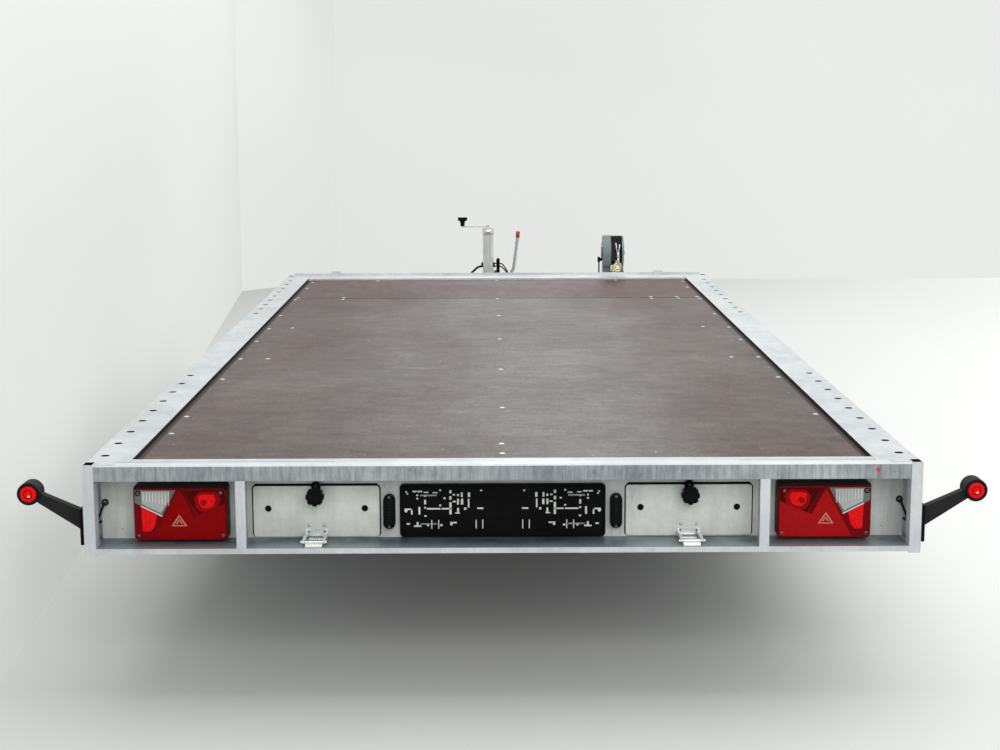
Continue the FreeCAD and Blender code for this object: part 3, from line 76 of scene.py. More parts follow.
def aim_camera():
    pitch, yaw, roll = (math.radians(a) for a in CAMERA_TURNS)
    look = Vector((math.sin(yaw) * math.cos(pitch), math.cos(yaw) * math.cos(pitch), -math.sin(pitch)))
    side = Vector((math.cos(yaw), -math.sin(yaw), 0))
    up = side.cross(look)
    right = side * math.cos(roll) + up * math.sin(roll)
    upward = up * math.cos(roll) - side * math.sin(roll)
    turn = Matrix((right, upward, -look)).transposed().to_4x4()
    data = bpy.data.cameras.new("camera")
    data.lens = CAMERA_LENS
    data.sensor_width = 36
    data.clip_end = 200
    camera = bpy.data.objects.new("camera", data)
    camera.matrix_world = Matrix.Translation(CAMERA_PLACE) @ turn
    scene.collection.objects.link(camera)
    scene.camera = camera


aim_camera()


# materials


class Graph:
    """A short way to write a node graph for one material."""

    def __init__(self, name):
        self.material = bpy.data.materials.new(name)
        self.material.use_nodes = True
        self.nodes = self.material.node_tree.nodes
        self.links = self.material.node_tree.links
        self.shader = self.nodes["Principled BSDF"]
        self.place = self.add("ShaderNodeTexCoord").outputs["Object"]

    def add(self, kind, **values):
        node = self.nodes.new(kind)
        for key, value in values.items():
            setattr(node, key, value)
        return node

    def link(self, source, target):
        self.links.new(source, target)

    def feed(self, socket, value):
        """Sets a socket to a number or a colour, or links another socket to it."""
        if isinstance(value, (int, float)):
            socket.default_value = value
        elif isinstance(value, tuple):
            socket.default_value = (*value, 1)
        else:
            self.link(value, socket)

    def stretched(self, scale):
        mapping = self.add("ShaderNodeMapping")
        mapping.inputs["Scale"].default_value = scale
        self.link(self.place, mapping.inputs["Vector"])
        return mapping.outputs["Vector"]

    def noise(self, scale, detail=4.0, rough=0.55, stretch=None, distort=0.0):
        node = self.add("ShaderNodeTexNoise")
        node.inputs["Scale"].default_value = scale
        node.inputs["Detail"].default_value = detail
        node.inputs["Roughness"].default_value = rough
        node.inputs["Distortion"].default_value = distort
        self.link(self.stretched(stretch) if stretch else self.place, node.inputs["Vector"])
        return node.outputs["Fac"]

    def cells(self, scale):
        node = self.add("ShaderNodeTexVoronoi")
        node.inputs["Scale"].default_value = scale
        self.link(self.place, node.inputs["Vector"])
        return node.outputs

    def ramp(self, source, stops):
        """A colour ramp from pairs of a place and a grey or a colour."""
        node = self.add("ShaderNodeValToRGB")
        elements = node.color_ramp.elements
        while len(elements) < len(stops):
            elements.new(0.5)
        for element, (at, colour) in zip(elements, stops):
            element.position = at
            if isinstance(colour, (int, float)):
                colour = (colour, colour, colour)
            element.color = (*colour, 1)
        self.link(source, node.inputs["Fac"])
        return node.outputs["Color"]

    def mix(self, factor, a, b, blend="MIX"):
        node = self.add("ShaderNodeMix", data_type="RGBA", blend_type=blend)
        self.feed(node.inputs["Factor"], factor)
        self.feed(node.inputs[6], a)
        self.feed(node.inputs[7], b)
        return node.outputs[2]

    def darken(self, factor, base, source, stops):
        """The base times a ramp of the source."""
        return self.mix(factor, base, self.ramp(source, stops), "MULTIPLY")

    def math(self, operation, a, b):
        node = self.add("ShaderNodeMath", operation=operation)
        self.feed(node.inputs[0], a)
        self.feed(node.inputs[1], b)
        return node.outputs[0]

    def colour(self, source):
        self.feed(self.shader.inputs["Base Color"], source)

    def rough(self, source):
        self.feed(self.shader.inputs["Roughness"], source)

    def span(self, value, low, high):
        """0 to 1 as the value goes from low to high."""
        node = self.add("ShaderNodeMapRange")
        node.inputs["From Min"].default_value = low
        node.inputs["From Max"].default_value = high
        self.link(value, node.inputs["Value"])
        return node.outputs["Result"]

    def axis(self, name, low, high):
        """0 to 1 as one axis of the place goes from low to high."""
        parts = self.add("ShaderNodeSeparateXYZ")
        self.link(self.place, parts.inputs["Vector"])
        return self.span(parts.outputs[name], low, high)

    def near(self, spot, reach):
        """1 at the spot, 0 from reach away."""
        gap = self.add("ShaderNodeVectorMath", operation="DISTANCE")
        self.link(self.place, gap.inputs[0])
        gap.inputs[1].default_value = spot
        return self.span(gap.outputs["Value"], reach, 0.0)

    def set(self, **values):
        names = {"metallic": "Metallic", "coat": "Coat Weight", "specular": "Specular IOR Level",
                 "glow": "Emission Strength"}
        for key, value in values.items():
            self.shader.inputs[names[key]].default_value = value

    def bump(self, height, strength, distance):
        node = self.add("ShaderNodeBump")
        node.inputs["Strength"].default_value = strength
        node.inputs["Distance"].default_value = distance
        self.link(height, node.inputs["Height"])
        self.link(node.outputs["Normal"], self.shader.inputs["Normal"])


def galvanised(name, light, dark, streaks, metallic, patch=5.0, run_scale=26.0, seams=False, recess_shade=False):
    """Zinc coat: broad pale patches, fine spangle, and run marks as strong as streaks.

    seams adds rust beside the corner posts and a touch of red paint; recess_shade is painted shade, making a trough
    darker towards its back and paler at its lip.
    """
    g = Graph(name)
    broad = g.noise(patch, 5, 0.6, (1, 1, 1.4))
    spangle = g.cells(130)["Color"]
    fine = g.noise(90, 3, 0.6)
    base = g.ramp(broad, [(0.34, dark), (0.62, light)])
    base = g.darken(0.55, base, spangle, [(0.0, 0.90), (1.0, 1.0)])
    base = g.darken(0.25, base, fine, [(0.3, 0.85), (0.7, 1.0)])
    runs = g.noise(run_scale, 7, 0.75, (1.0, 0.6, 0.10))
    wide = g.noise(1.6, 3, 0.6, (1, 1, 0.2))
    spots = g.noise(46, 4, 0.6, (1, 1, 0.5))
    base = g.darken(streaks, base, runs, [(0.38, (0.46, 0.49, 0.53)), (0.60, WHITE)])
    base = g.darken(streaks * 0.7, base, wide, [(0.38, (0.66, 0.69, 0.72)), (0.60, WHITE)])
    base = g.darken(streaks * 0.8, base, spots, [(0.27, (0.30, 0.32, 0.35)), (0.36, WHITE)])
    if seams:
        rust = g.ramp(g.noise(60, 4, 0.7, (1, 1, 0.5)), [(0.42, 0.0), (0.55, 0.9)])
        for side in (-1, 1):
            edge = g.ramp(g.axis("X", side * 1.0262, side * 1.0308), [(0.55, 0.0), (0.95, 1.0)])
            base = g.mix(g.mix(1.0, edge, rust, "MULTIPLY"), base, (0.06, 0.05, 0.045))
        touch = g.math("MULTIPLY", g.near((0.9475, REAR, 0.6017), 0.011), g.noise(160, 2))
        base = g.mix(g.ramp(touch, [(0.20, 0.0), (0.26, 0.9)]), base, (0.55, 0.02, 0.02))
    if recess_shade:
        # painted shade: darker towards the panel, painted paler near the lip
        near_lip = g.axis("Y", REAR + 0.004, REAR + 0.104)
        base = g.mix(g.ramp(near_lip, [(0.05, 0.75), (0.6, 0.0)]), base, (0.42, 0.48, 0.49))
    g.colour(base)
    g.rough(g.ramp(broad, [(0.3, 0.52), (0.7, 0.38)]))
    g.set(metallic=metallic)
    g.bump(g.mix(0.4, broad, fine), 0.12, 0.002)
    return g.material


def plastic(name, colour, rough=0.45, grain=420.0, strength=0.15, coat=0.0, specular=0.28):
    """Moulded plastic with a fine grain."""
    g = Graph(name)
    wear = g.noise(9, 4)
    light = tuple(min(1.0, c * 1.25 + 0.003) for c in colour)
    g.colour(g.ramp(wear, [(0.3, colour), (0.75, light)]))
    g.rough(g.ramp(g.noise(30, 3), [(0.3, rough - 0.07), (0.7, rough + 0.08)]))
    g.set(coat=coat, specular=specular)
    g.bump(g.noise(grain, 2), strength, 0.0004)
    return g.material


def metal(name, colour, rough=0.3, brushed=None, metallic=1.0):
    """Bare or plated metal; brushed gives the stretch of its scratches."""
    g = Graph(name)
    cloud = g.noise(14, 5)
    dark = tuple(c * 0.82 for c in colour)
    g.colour(g.ramp(cloud, [(0.3, dark), (0.7, colour)]))
    lines = g.noise(60, 4, 0.6, brushed or (1, 1, 1))
    g.rough(g.ramp(lines, [(0.25, rough - 0.08), (0.75, rough + 0.1)]))
    g.set(metallic=metallic)
    g.bump(lines, 0.08, 0.0006)
    return g.material


def plywood(name, front=False):
    """Film-faced plywood, mottled brown, with a painted sheen that greys it along the middle; the front board has
    stains and long marks.
    """
    g = Graph(name)
    cloud = g.noise(1.6, 6, 0.62, (1.2, 0.6, 1))
    base = g.ramp(cloud, [(0.36, (0.094, 0.056, 0.052)), (0.62, (0.122, 0.100, 0.090))])
    # painted reflection: a grey sheen along the middle, broken into patches
    middle = g.ramp(g.axis("X", -0.75, 0.75), [(0.12, 0.0), (0.50, 1.0), (0.88, 0.0)])
    sheen_patches = g.ramp(g.noise(1.3, 5, 0.6, (1, 0.5, 1), 0.7), [(0.30, 0.35), (0.60, 1.0)])
    painted_sheen = g.math("MULTIPLY", middle, sheen_patches)
    base = g.mix(g.math("MULTIPLY", painted_sheen, 0.55), base, (0.165, 0.165, 0.168))
    sides = g.ramp(g.axis("X", -0.93, 0.93), [(0.0, 1.0), (0.28, 0.0), (0.80, 0.0), (1.0, 0.35)])
    blotch = g.ramp(g.noise(2.6, 6, 0.65, (1, 0.6, 1), 0.5), [(0.40, 0.15), (0.58, 0.85)])
    base = g.mix(g.math("MULTIPLY", sides, blotch), base, (0.108, 0.058, 0.058))
    mottle = g.noise(17, 7, 0.74, (0.55, 1, 1))
    base = g.darken(0.9, base, mottle, [(0.30, 0.52), (0.50, 0.97), (0.70, 1.50)])
    grain = g.noise(120, 5, 0.8, (1, 0.35, 1))
    base = g.darken(0.8, base, grain, [(0.30, 0.45), (0.52, 0.95), (0.70, 1.35)])
    fine = g.noise(34, 6, 0.72)
    base = g.darken(0.5, base, fine, [(0.25, 0.62), (0.75, 1.0)])
    scuff = g.noise(7, 8, 0.75, (1.0, 0.25, 1), 0.6)
    base = g.mix(g.ramp(scuff, [(0.60, 0.0), (0.78, 0.30)]), base, (0.34, 0.31, 0.30))
    flecks = g.noise(55, 3, 0.6, (1.0, 0.45, 1))
    base = g.mix(g.ramp(flecks, [(0.71, 0.0), (0.75, 0.6)]), base, (0.42, 0.40, 0.39))
    if front:
        stain = g.noise(13, 6, 0.7, (1, 0.5, 1))
        base = g.mix(g.ramp(stain, [(0.40, 0.85), (0.60, 0.25)]), base, (0.078, 0.038, 0.035))
        marks = g.noise(26, 5, 0.75, (1, 0.22, 1), 0.8)
        base = g.mix(g.ramp(marks, [(0.56, 0.0), (0.68, 0.32)]), base, (0.26, 0.23, 0.22))
    g.colour(base)
    g.rough(g.ramp(cloud, [(0.3, 0.52), (0.7, 0.42)]))
    weave = g.add("ShaderNodeTexWave", wave_type="BANDS", bands_direction="DIAGONAL")
    weave.inputs["Scale"].default_value = 120
    g.link(g.place, weave.inputs["Vector"])
    g.bump(g.mix(0.5, weave.outputs["Fac"], fine), 0.22, 0.0008)
    g.set(specular=0.18 if front else 0.24)
    return g.material


def edge_seal(name):
    """The joint along the deck's sides: brown film on it, and the dark gap beside the rail."""
    g = Graph(name)
    across = g.axis("X", -0.9455, 0.9455)
    gap = g.ramp(across, [(0.0030, 1.0), (0.0042, 0.0), (0.9958, 0.0), (0.9970, 1.0)])
    film = g.ramp(g.noise(30, 5, 0.7), [(0.3, (0.088, 0.062, 0.057)), (0.7, (0.112, 0.086, 0.079))])
    g.colour(g.mix(gap, film, (0.018, 0.020, 0.022)))
    g.rough(0.8)
    g.set(specular=0.08)
    return g.material


def lens(name, colour, rough=0.12, cells=0.0, glow=0.0):
    """Coloured lens: glossy, with small prisms under the surface where cells is over zero."""
    g = Graph(name)
    if cells:
        prisms = g.cells(cells)["Distance"]
        g.colour(g.ramp(prisms, [(0.0, colour), (0.6, tuple(c * 0.55 for c in colour))]))
        g.bump(prisms, 0.25, 0.0006)
    else:
        g.colour(g.ramp(g.noise(16, 3), [(0.3, tuple(c * 0.8 for c in colour)), (0.7, colour)]))
    g.rough(rough)
    g.set(specular=0.05)
    if glow:
        g.shader.inputs["Emission Color"].default_value = (*colour, 1)
        g.set(glow=glow)
    return g.material


def rubber(name, colour=(0.008, 0.008, 0.009), rough=0.62):
    """Matt black rubber, dusty in places."""
    g = Graph(name)
    dust = g.noise(12, 6, 0.65)
    g.colour(g.ramp(dust, [(0.35, colour), (0.8, tuple(c * 1.9 + 0.004 for c in colour))]))
    g.rough(g.ramp(dust, [(0.3, rough - 0.06), (0.7, rough + 0.12)]))
    g.bump(g.noise(160, 3), 0.2, 0.0005)
    g.set(specular=0.2)
    return g.material


MAT = {
    "rail": galvanised("zinc_rail", (0.72, 0.745, 0.755), (0.60, 0.63, 0.65), 0.25, 0.2),
    "header": galvanised("zinc_header", (0.53, 0.56, 0.57), (0.36, 0.39, 0.405), 0.8, 0.25, patch=7.0,
                         run_scale=95.0, seams=True),
    # a paler copy of the zinc: painted light on the rear frame's upward faces
    "flange": galvanised("zinc_flange", (0.78, 0.805, 0.815), (0.69, 0.72, 0.73), 0.15, 0.2),
    # a darker, bluer copy of the zinc for the trough's floor: painted shade and painted reflection of the dark
    # surroundings
    "trough": galvanised("zinc_trough", (0.22, 0.27, 0.295), (0.09, 0.115, 0.135), 0.35, 0.45, patch=9.0,
                         run_scale=14.0, recess_shade=True),
    "panel": galvanised("zinc_panel", (0.72, 0.74, 0.70), (0.58, 0.605, 0.575), 0.35, 0.15, patch=4.0),
    "under": galvanised("zinc_under", (0.50, 0.52, 0.53), (0.36, 0.38, 0.39), 0.4, 0.3),
    "cover": galvanised("zinc_cover", (0.80, 0.82, 0.765), (0.68, 0.705, 0.66), 0.2, 0.15, patch=9.0),
    "tube": metal("zinc_tube", (0.66, 0.68, 0.63), 0.30, (1, 1, 0.05), 0.55),
    "zinc": metal("zinc_plate", (0.74, 0.75, 0.72), 0.28),
    "zinc_bright": metal("hinge_zinc", (0.80, 0.86, 0.87), 0.24, metallic=0.45),
    "zinc_dark": metal("rivet_zinc", (0.52, 0.53, 0.52), 0.32, metallic=0.8),
    "screw_dark": metal("screw_dark", (0.16, 0.15, 0.14), 0.45, metallic=0.8),
    "screw_bright": metal("screw_bright", (0.86, 0.87, 0.85), 0.42, metallic=0.35),
    "alloy": metal("mill_alloy", (0.78, 0.79, 0.80), 0.34, (1, 0.1, 1)),
    "rim": metal("rim_silver", (0.60, 0.61, 0.63), 0.36, metallic=0.6),
    "cast": metal("cast_black", (0.10, 0.105, 0.11), 0.5, metallic=0.4),
    "winch_plate": metal("winch_plate", (0.52, 0.58, 0.62), 0.32),
    "brass": metal("brass_plate", (0.88, 0.74, 0.44), 0.3),
    "clear": metal("clear_lens", (0.44, 0.45, 0.44), 0.2, metallic=0.3),
    "deck": plywood("deck_film"),
    "deck_front": plywood("deck_film_front", front=True),
    "edge_seal": edge_seal("edge_seal"),
    "rubber": rubber("black_rubber"),
    "tyre": rubber("tyre_rubber", (0.018, 0.018, 0.019), 0.7),
    "strap": rubber("black_strap", (0.017, 0.017, 0.018), 0.85),
    # near-black painted shade for the insides of the rails and posts and the walls of the tie-down holes
    "hollow": plastic("dark_inside", (0.012, 0.012, 0.012), 0.8, specular=0.1),
    # near-black for the joints of the deck and rear frame, and for the painted shadow round the ramp covers
    "joint_and_shadow_black": plastic("joint_and_shadow_black", (0.006, 0.006, 0.006), 0.9, specular=0.05),
    "gasket": plastic("lamp_gasket", (0.006, 0.006, 0.0065), 0.6, specular=0.15),
    "black": plastic("black_plastic", (0.0015, 0.0015, 0.0018), 0.42, specular=0.06),
    "gloss_black": plastic("gloss_black_plastic", (0.0015, 0.0015, 0.0018), 0.2, 200, 0.05, coat=0.02,
                           specular=0.1),
    "winch": plastic("winch_green", (0.16, 0.20, 0.19), 0.38, 160, 0.12),
    "grip_red": plastic("red_grip", (0.40, 0.04, 0.035), 0.45),
    "slot_light": plastic("slot_light", (0.62, 0.63, 0.60), 0.5),
    "clear_dark": plastic("clear_lens_dark", (0.10, 0.11, 0.105), 0.15, 60, 0.1, coat=0.6),
    # these two also give the painted highlights on the marker lenses
    "clear_rib_and_glint": plastic("clear_lens_rib_and_glint", (0.58, 0.57, 0.54), 0.2, 60, 0.1, coat=0.5),
    "red_glint": plastic("lens_glint", (0.85, 0.45, 0.42), 0.2, 60, 0.05, coat=0.5),
    "pale_mark": plastic("reflector_mark", (0.50, 0.20, 0.14), 0.3, 60, 0.1, coat=0.4),
    "amber": lens("amber_lens", (0.90, 0.30, 0.02), 0.15, cells=260),
    "red": lens("red_lens", (0.46, 0.004, 0.008)),
    "red_dark": lens("dark_red_lens", (0.20, 0.002, 0.005), 0.14),
    "red_bright": lens("bright_red_lens", (0.86, 0.008, 0.010), 0.16, cells=220, glow=0.25),
    "red_prism": lens("reflector_red", (0.40, 0.0012, 0.003), 0.2, cells=420),
    # a lighter copy of the reflector red: painted highlight on the right tail lamp
    "red_lit": lens("reflector_lit", (0.62, 0.010, 0.012), 0.2, cells=420),
    "red_edge": lens("reflector_edge", (0.22, 0.002, 0.003), 0.16),
    "red_black": lens("lens_compartment", (0.085, 0.001, 0.002)),
    "red_mid": lens("lens_glow_rim", (0.34, 0.002, 0.003), 0.14),
}

NODE_LOOKS = {
    "rail": ["side_rail_left", "side_rail_right", "corner_posts", "rear_beam", "front_rail"],
    "header": ["rear_frame"],
    "panel": ["rear_panel"],
    "under": ["cross_members", "main_beams", "axle_front", "axle_rear", "drawbar_left", "drawbar_right",
              "drawbar_plates", "swing_arms", "ramp_guides", "winch_bracket", "jockey_clamp", "brake_rod"],
    "cover": ["ramp_cover_left", "ramp_cover_right"],
    "zinc": ["cover_hinges", "jockey_crank", "jockey_fork"],
    "tube": ["jockey_tube", "jockey_leg", "handbrake_lever"],
    "deck": ["deck_board"],
    "deck_front": ["deck_front_board"],
    "edge_seal": ["deck_seals"],
    "rubber": ["marker_lamps", "overrun_gaiter", "marker_leads", "plug_lead"],
    "tyre": ["tyre_front_left", "tyre_front_right", "tyre_rear_left", "tyre_rear_right", "jockey_wheel"],
    "rim": ["rim_front_left", "rim_front_right", "rim_rear_left", "rim_rear_right"],
    "black": ["cover_knob_left", "cover_knob_right", "plate_holder", "plate_lamps", "tail_lamp_cases",
              "coupling_handle", "winch_handle"],
    "red": ["tail_lamp_lenses", "marker_lenses"],
    "amber": ["side_reflectors"],
    "alloy": ["ramps"],
    "cast": ["coupling_head", "overrun_housing"],
    "winch": ["winch_frame"],
    "strap": ["winch_drum"],
    "brass": ["winch_hook"],
}
for look, names in NODE_LOOKS.items():
    for name in names:
        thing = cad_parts[name]
        thing.data.materials.clear()
        thing.data.materials.append(MAT[look])


def paint(name, key, test):
    """Gives the faces that pass the test, from their middle and normal, another material."""
    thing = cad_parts[name]
    thing.data.materials.append(MAT[key])
    index = len(thing.data.materials) - 1
    place = thing.matrix_world
    turn = place.to_3x3()
    for face in thing.data.polygons:
        if test(place @ face.center, turn @ face.normal):
            face.material_index = index


# painted shade: faces inside the hollow rails, the walls of the tie-down holes and the insides of the corner posts
# take the near-black hollow material
def inside_rail(m, n):
    return TOP - 0.0275 < m.z < TOP - 0.0025 and 0.949 < abs(m.x) < 1.0573


def inside_hole(m, n):
    return abs(n.z) < 0.3 and m.z > TOP - 0.006 and abs(abs(m.x) - HOLE_X) < HOLE_REACH


# painted shade: the rail's inner web, in the strip just above the deck, takes black rubber
def beside_deck(m, n):
    return abs(m.x) < 0.9475 and abs(n.x) > 0.9 and m.z > 0.600


def inside_post(m, n):
    across, along = 1.0335 < abs(m.x) < 1.0573, m.y - REAR
    return across and m.z > 0.389 and (0.0027 < along < 0.0383 or BED - 0.0383 < along < BED - 0.0027)


for label in ("left", "right"):
    paint(f"side_rail_{label}", "hollow", inside_rail)
    paint(f"side_rail_{label}", "rubber", beside_deck)
    paint(f"side_rail_{label}", "hollow", inside_hole)
paint("corner_posts", "hollow", inside_post)
# painted light: the rear frame's upward faces take the paler flange zinc
paint("rear_frame", "flange", lambda m, n: m.z > TOP - 0.0068 and n.z > 0.25)
# painted shade and reflection: the trough's upward floor takes the dark trough zinc
paint("rear_frame", "trough", lambda m, n: 0.398 < m.z < 0.4045 and n.z > 0.7 and m.y > REAR + 0.004)
paint("rear_frame", "rail", lambda m, n: m.z < 0.57 and n.y < -0.7 and m.y < REAR + 0.002)
paint("winch_hook", "strap", lambda m, n: m.z > 0.686)


# building blocks for added pieces


class Piece:
    """A mesh built up from simple parts, each with a material."""

    def __init__(self, name):
        self.name = name
        self.bm = bmesh.new()
        self.looks = []

    def look(self, key):
        if key not in self.looks:
            self.looks.append(key)
        return self.looks.index(key)

    def own(self, faces, key, smooth=False):
        """Gives the faces a material."""
        index = self.look(key)
        for face in faces:
            face.material_index = index
            face.smooth = smooth

    def take(self, made, key, matrix):
        """Moves the new vertices into place, and returns them with their faces."""
        verts = list(made["verts"])
        bmesh.ops.transform(self.bm, matrix=matrix, verts=verts)
        faces = list(dict.fromkeys(f for v in verts for f in v.link_faces))
        self.own(faces, key)
        return verts, faces

    def cube(self, matrix, key):
        return self.take(bmesh.ops.create_cube(self.bm, size=1), key, matrix)

    def block(self, low, high, key, bevel=0.0):
        low, high = Vector(low), Vector(high)
        verts, _ = self.cube(Matrix.Translation((low + high) / 2) @ Matrix.Diagonal((*(high - low), 1)), key)
        if bevel:
            edges = list(dict.fromkeys(e for v in verts for e in v.link_edges))
            out = bmesh.ops.bevel(self.bm, geom=edges, offset=bevel, segments=2, profile=0.6, affect="EDGES",
                                  clamp_overlap=True)
            self.own(out["faces"], key, True)

    def rod(self, a, b, radius, key, segments=24, end=None):
        """A cylinder from a to b, or a cone where the end's radius is given."""
        a, b = Vector(a), Vector(b)
        made = bmesh.ops.create_cone(self.bm, cap_ends=True, segments=segments, radius1=radius,
                                     radius2=radius if end is None else end, depth=(b - a).length)
        turn = (b - a).to_track_quat("Z", "Y").to_matrix().to_4x4()
        _, faces = self.take(made, key, Matrix.Translation((a + b) / 2) @ turn)
        for face in faces:
            face.smooth = len(face.verts) == 4

    def bolt(self, spot, out, head, washer, sink=0.0, segments=24):
        """A hexagon head on a washer, each given as a radius and a height along out."""
        spot, out = Vector(spot), Vector(out)
        self.rod(spot, spot + out * head[1], head[0], "zinc", 6)
        self.rod(spot - out * sink, spot + out * washer[1], washer[0], "zinc", segments)

    def lathe(self, centre, axis, profile, key, segments=48, ring_shape=False):
        """Turns (distance along the axis, radius) pairs about the axis; a ring shape closes on itself."""
        axis = Vector(axis).normalized()
        first = axis.orthogonal().normalized()
        second = axis.cross(first)
        rings = []
        for along, radius in profile:
            ring = []
            for i in range(segments):
                turn = 2 * math.pi * i / segments
                spot = Vector(centre) + axis * along
                spot += (first * math.cos(turn) + second * math.sin(turn)) * radius
                ring.append(self.bm.verts.new(spot))
            rings.append(ring)
        faces = []
        following = rings[1:] + rings[:1] if ring_shape else rings[1:]
        for a, b in zip(rings, following):
            for i in range(segments):
                j = (i + 1) % segments
                faces.append(self.bm.faces.new((a[i], a[j], b[j], b[i])))
        self.own(faces, key, True)
        if not ring_shape:
            self.own([self.bm.faces.new(rings[0][::-1]), self.bm.faces.new(rings[-1])], key)

    def prism(self, corners, low, high, key):
        """A flat outline of x and z pushed from low to high along y."""
        near = [self.bm.verts.new((x, low, z)) for x, z in corners]
        far = [self.bm.verts.new((x, high, z)) for x, z in corners]
        faces = [self.bm.faces.new(near), self.bm.faces.new(far[::-1])]
        for i in range(len(near)):
            j = (i + 1) % len(near)
            faces.append(self.bm.faces.new((near[j], near[i], far[i], far[j])))
        self.own(faces, key)

    def done(self, body="chassis", replaced=()):
        """Makes the object, which rides on the body and stands in for the replaced nodes."""
        bmesh.ops.recalc_face_normals(self.bm, faces=self.bm.faces)
        mesh = bpy.data.meshes.new(self.name)
        self.bm.to_mesh(mesh)
        self.bm.free()
        for key in self.looks:
            mesh.materials.append(MAT[key])
        thing = bpy.data.objects.new(self.name, mesh)
        scene.collection.objects.link(thing)
        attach(thing, body)
        if replaced:
            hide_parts(*replaced)


# tail lamps


def rounded(u0, v0, u1, v1, radius, steps=5):
    """Corners of a rectangle with rounded corners."""
    corners = []
    for cu, cv, start in ((u1 - radius, v1 - radius, 0), (u0 + radius, v1 - radius, 90),
                          (u0 + radius, v0 + radius, 180), (u1 - radius, v0 + radius, 270)):
        for i in range(steps + 1):
            turn = math.radians(start + 90 * i / steps)
            corners.append((cu + radius * math.cos(turn), cv + radius * math.sin(turn)))
    return corners


# layers of the lens: corners in millimetres inwards from the lamp's outer end and up, how far the front and the
# back stand off the lamp's case, and the look
LENS_RIBS = [([(26 + 8 * i, 127), (27.4 + 8 * i, 127), (27.4 + 8 * i, 104 - i * 1.6), (26 + 8 * i, 104 - i * 1.6)],
              9.8, 9, "clear_rib_and_glint") for i in range(9)]
LENS_LAYERS = [
    (rounded(0, 0, 240, 143, 11), 3.0, 0, "gasket"),
    (rounded(1, 0.5, 239, 137, 10), 8.0, 0, "red_dark"),
    ([(4, 132), (109, 132), (72, 63), (21, 90), (4, 99)], 8.8, 7, "clear_dark"),
    ([(21, 129), (94, 129), (90, 103), (70, 72), (22, 96)], 9.4, 8, "clear"),
    *LENS_RIBS,
    ([(20, 92.5), (74, 65.5), (73, 62.5), (19, 89.5)], 10.2, 7, "clear_rib_and_glint"),
    ([(5, 96), (19, 88), (19, 22), (5, 22)], 8.5, 7, "red_dark"),
    ([(20, 87), (60, 67), (53, 38), (43, 24), (22, 24)], 9.6, 7, "red_bright"),
    ([(155, 63), (236, 97), (236, 6), (184, 4), (52, 4)], 10.6, 7, "reflector"),
    ([(117, 131), (185, 4), (44, 4)], 11.2, 7, "reflector"),
    ([(112, 131), (117, 135), (117, 128), (49, 4), (44, 4)], 11.6, 7, "red_edge"),
    ([(117, 135), (122, 131), (159, 63), (155, 63), (117, 128)], 11.6, 7, "red_edge"),
    ([(128, 130), (234, 130), (236, 99), (206, 86), (168, 66), (150, 92)], 8.7, 7, "red_black"),
    ([(156, 112), (170, 127), (212, 127), (224, 112), (218, 90), (196, 76), (172, 74), (160, 88)],
     9.4, 7, "red_mid"),
    ([(166, 116), (180, 121), (205, 120), (211, 108), (206, 92), (192, 84), (178, 84), (168, 96)],
     10.0, 7, "red_bright"),
    ([(172, 104), (184, 108), (190, 100), (182, 91), (173, 93)], 10.5, 7, "red_mid"),
    ([(117, 68), (97, 38), (102, 40), (117, 63)], 11.8, 8, "pale_mark"),
    ([(117, 68), (117, 63), (132, 40), (137, 38)], 11.8, 8, "pale_mark"),
    ([(97, 38), (137, 38), (132, 40.5), (102, 40.5)], 11.8, 8, "pale_mark"),
    ([(117, 57), (108, 44), (112, 44.5), (117, 53)], 11.7, 8, "pale_mark"),
    ([(117, 57), (117, 53), (122, 44.5), (126, 44)], 11.7, 8, "pale_mark"),
]
LENS_SCREW = [(0, 0.0046), (0.0012, 0.0046), (0.0018, 0.0036), (0.0019, 0.0012)]


def tail_lamps():
    """Both lenses, with a screw in each corner; the right one's reflector is painted lighter, a painted highlight.
    """
    piece = Piece("tail_lamp_lens_set")
    back = PANEL - 0.0381
    # painted highlight: the right lamp's reflector takes the lighter red, the left one the plain prism red
    for side, reflector in ((-1, "red_prism"), (1, "red_lit")):
        for corners, front, rear, key in LENS_LAYERS:
            spots = [(side * (LAMP_EDGE - u * MM), LAMP_LOW + v * MM) for u, v in corners]
            piece.prism(spots, back - front * MM, back - rear * MM, reflector if key == "reflector" else key)
        for u, v in ((12, 12), (12, 124), (228, 12), (224, 124)):
            spot = Vector((side * (LAMP_EDGE - u * MM), back - 0.0094, LAMP_LOW + v * MM))
            if (u, v) == (12, 124):
                piece.rod(spot + Vector((0, 0.003, 0)), spot - Vector((0, 0.0004, 0)), 0.0074, "black")
            piece.lathe(spot, (0, -1, 0), LENS_SCREW, "screw_dark", 16)
            piece.block(spot + Vector((-0.003, -0.0026, -0.0006)), spot + Vector((0.003, -0.0016, 0.0006)), "black")
    piece.done(replaced=("tail_lamp_lenses",))


BEZEL = [(-0.001, 0.0285), (0.0022, 0.0275), (0.003, 0.0255), (0.003, 0.022), (0.001, 0.0215), (0.001, 0.018),
         (-0.001, 0.018)]
DOME = [(-0.001, 0.0212), (0.0022, 0.0208), (0.0036, 0.017), (0.0042, 0.010), (0.0044, 0.003)]
DOME_RING = [(0.0034, 0.0125), (0.0046, 0.0118), (0.0047, 0.0094), (0.0038, 0.0088)]


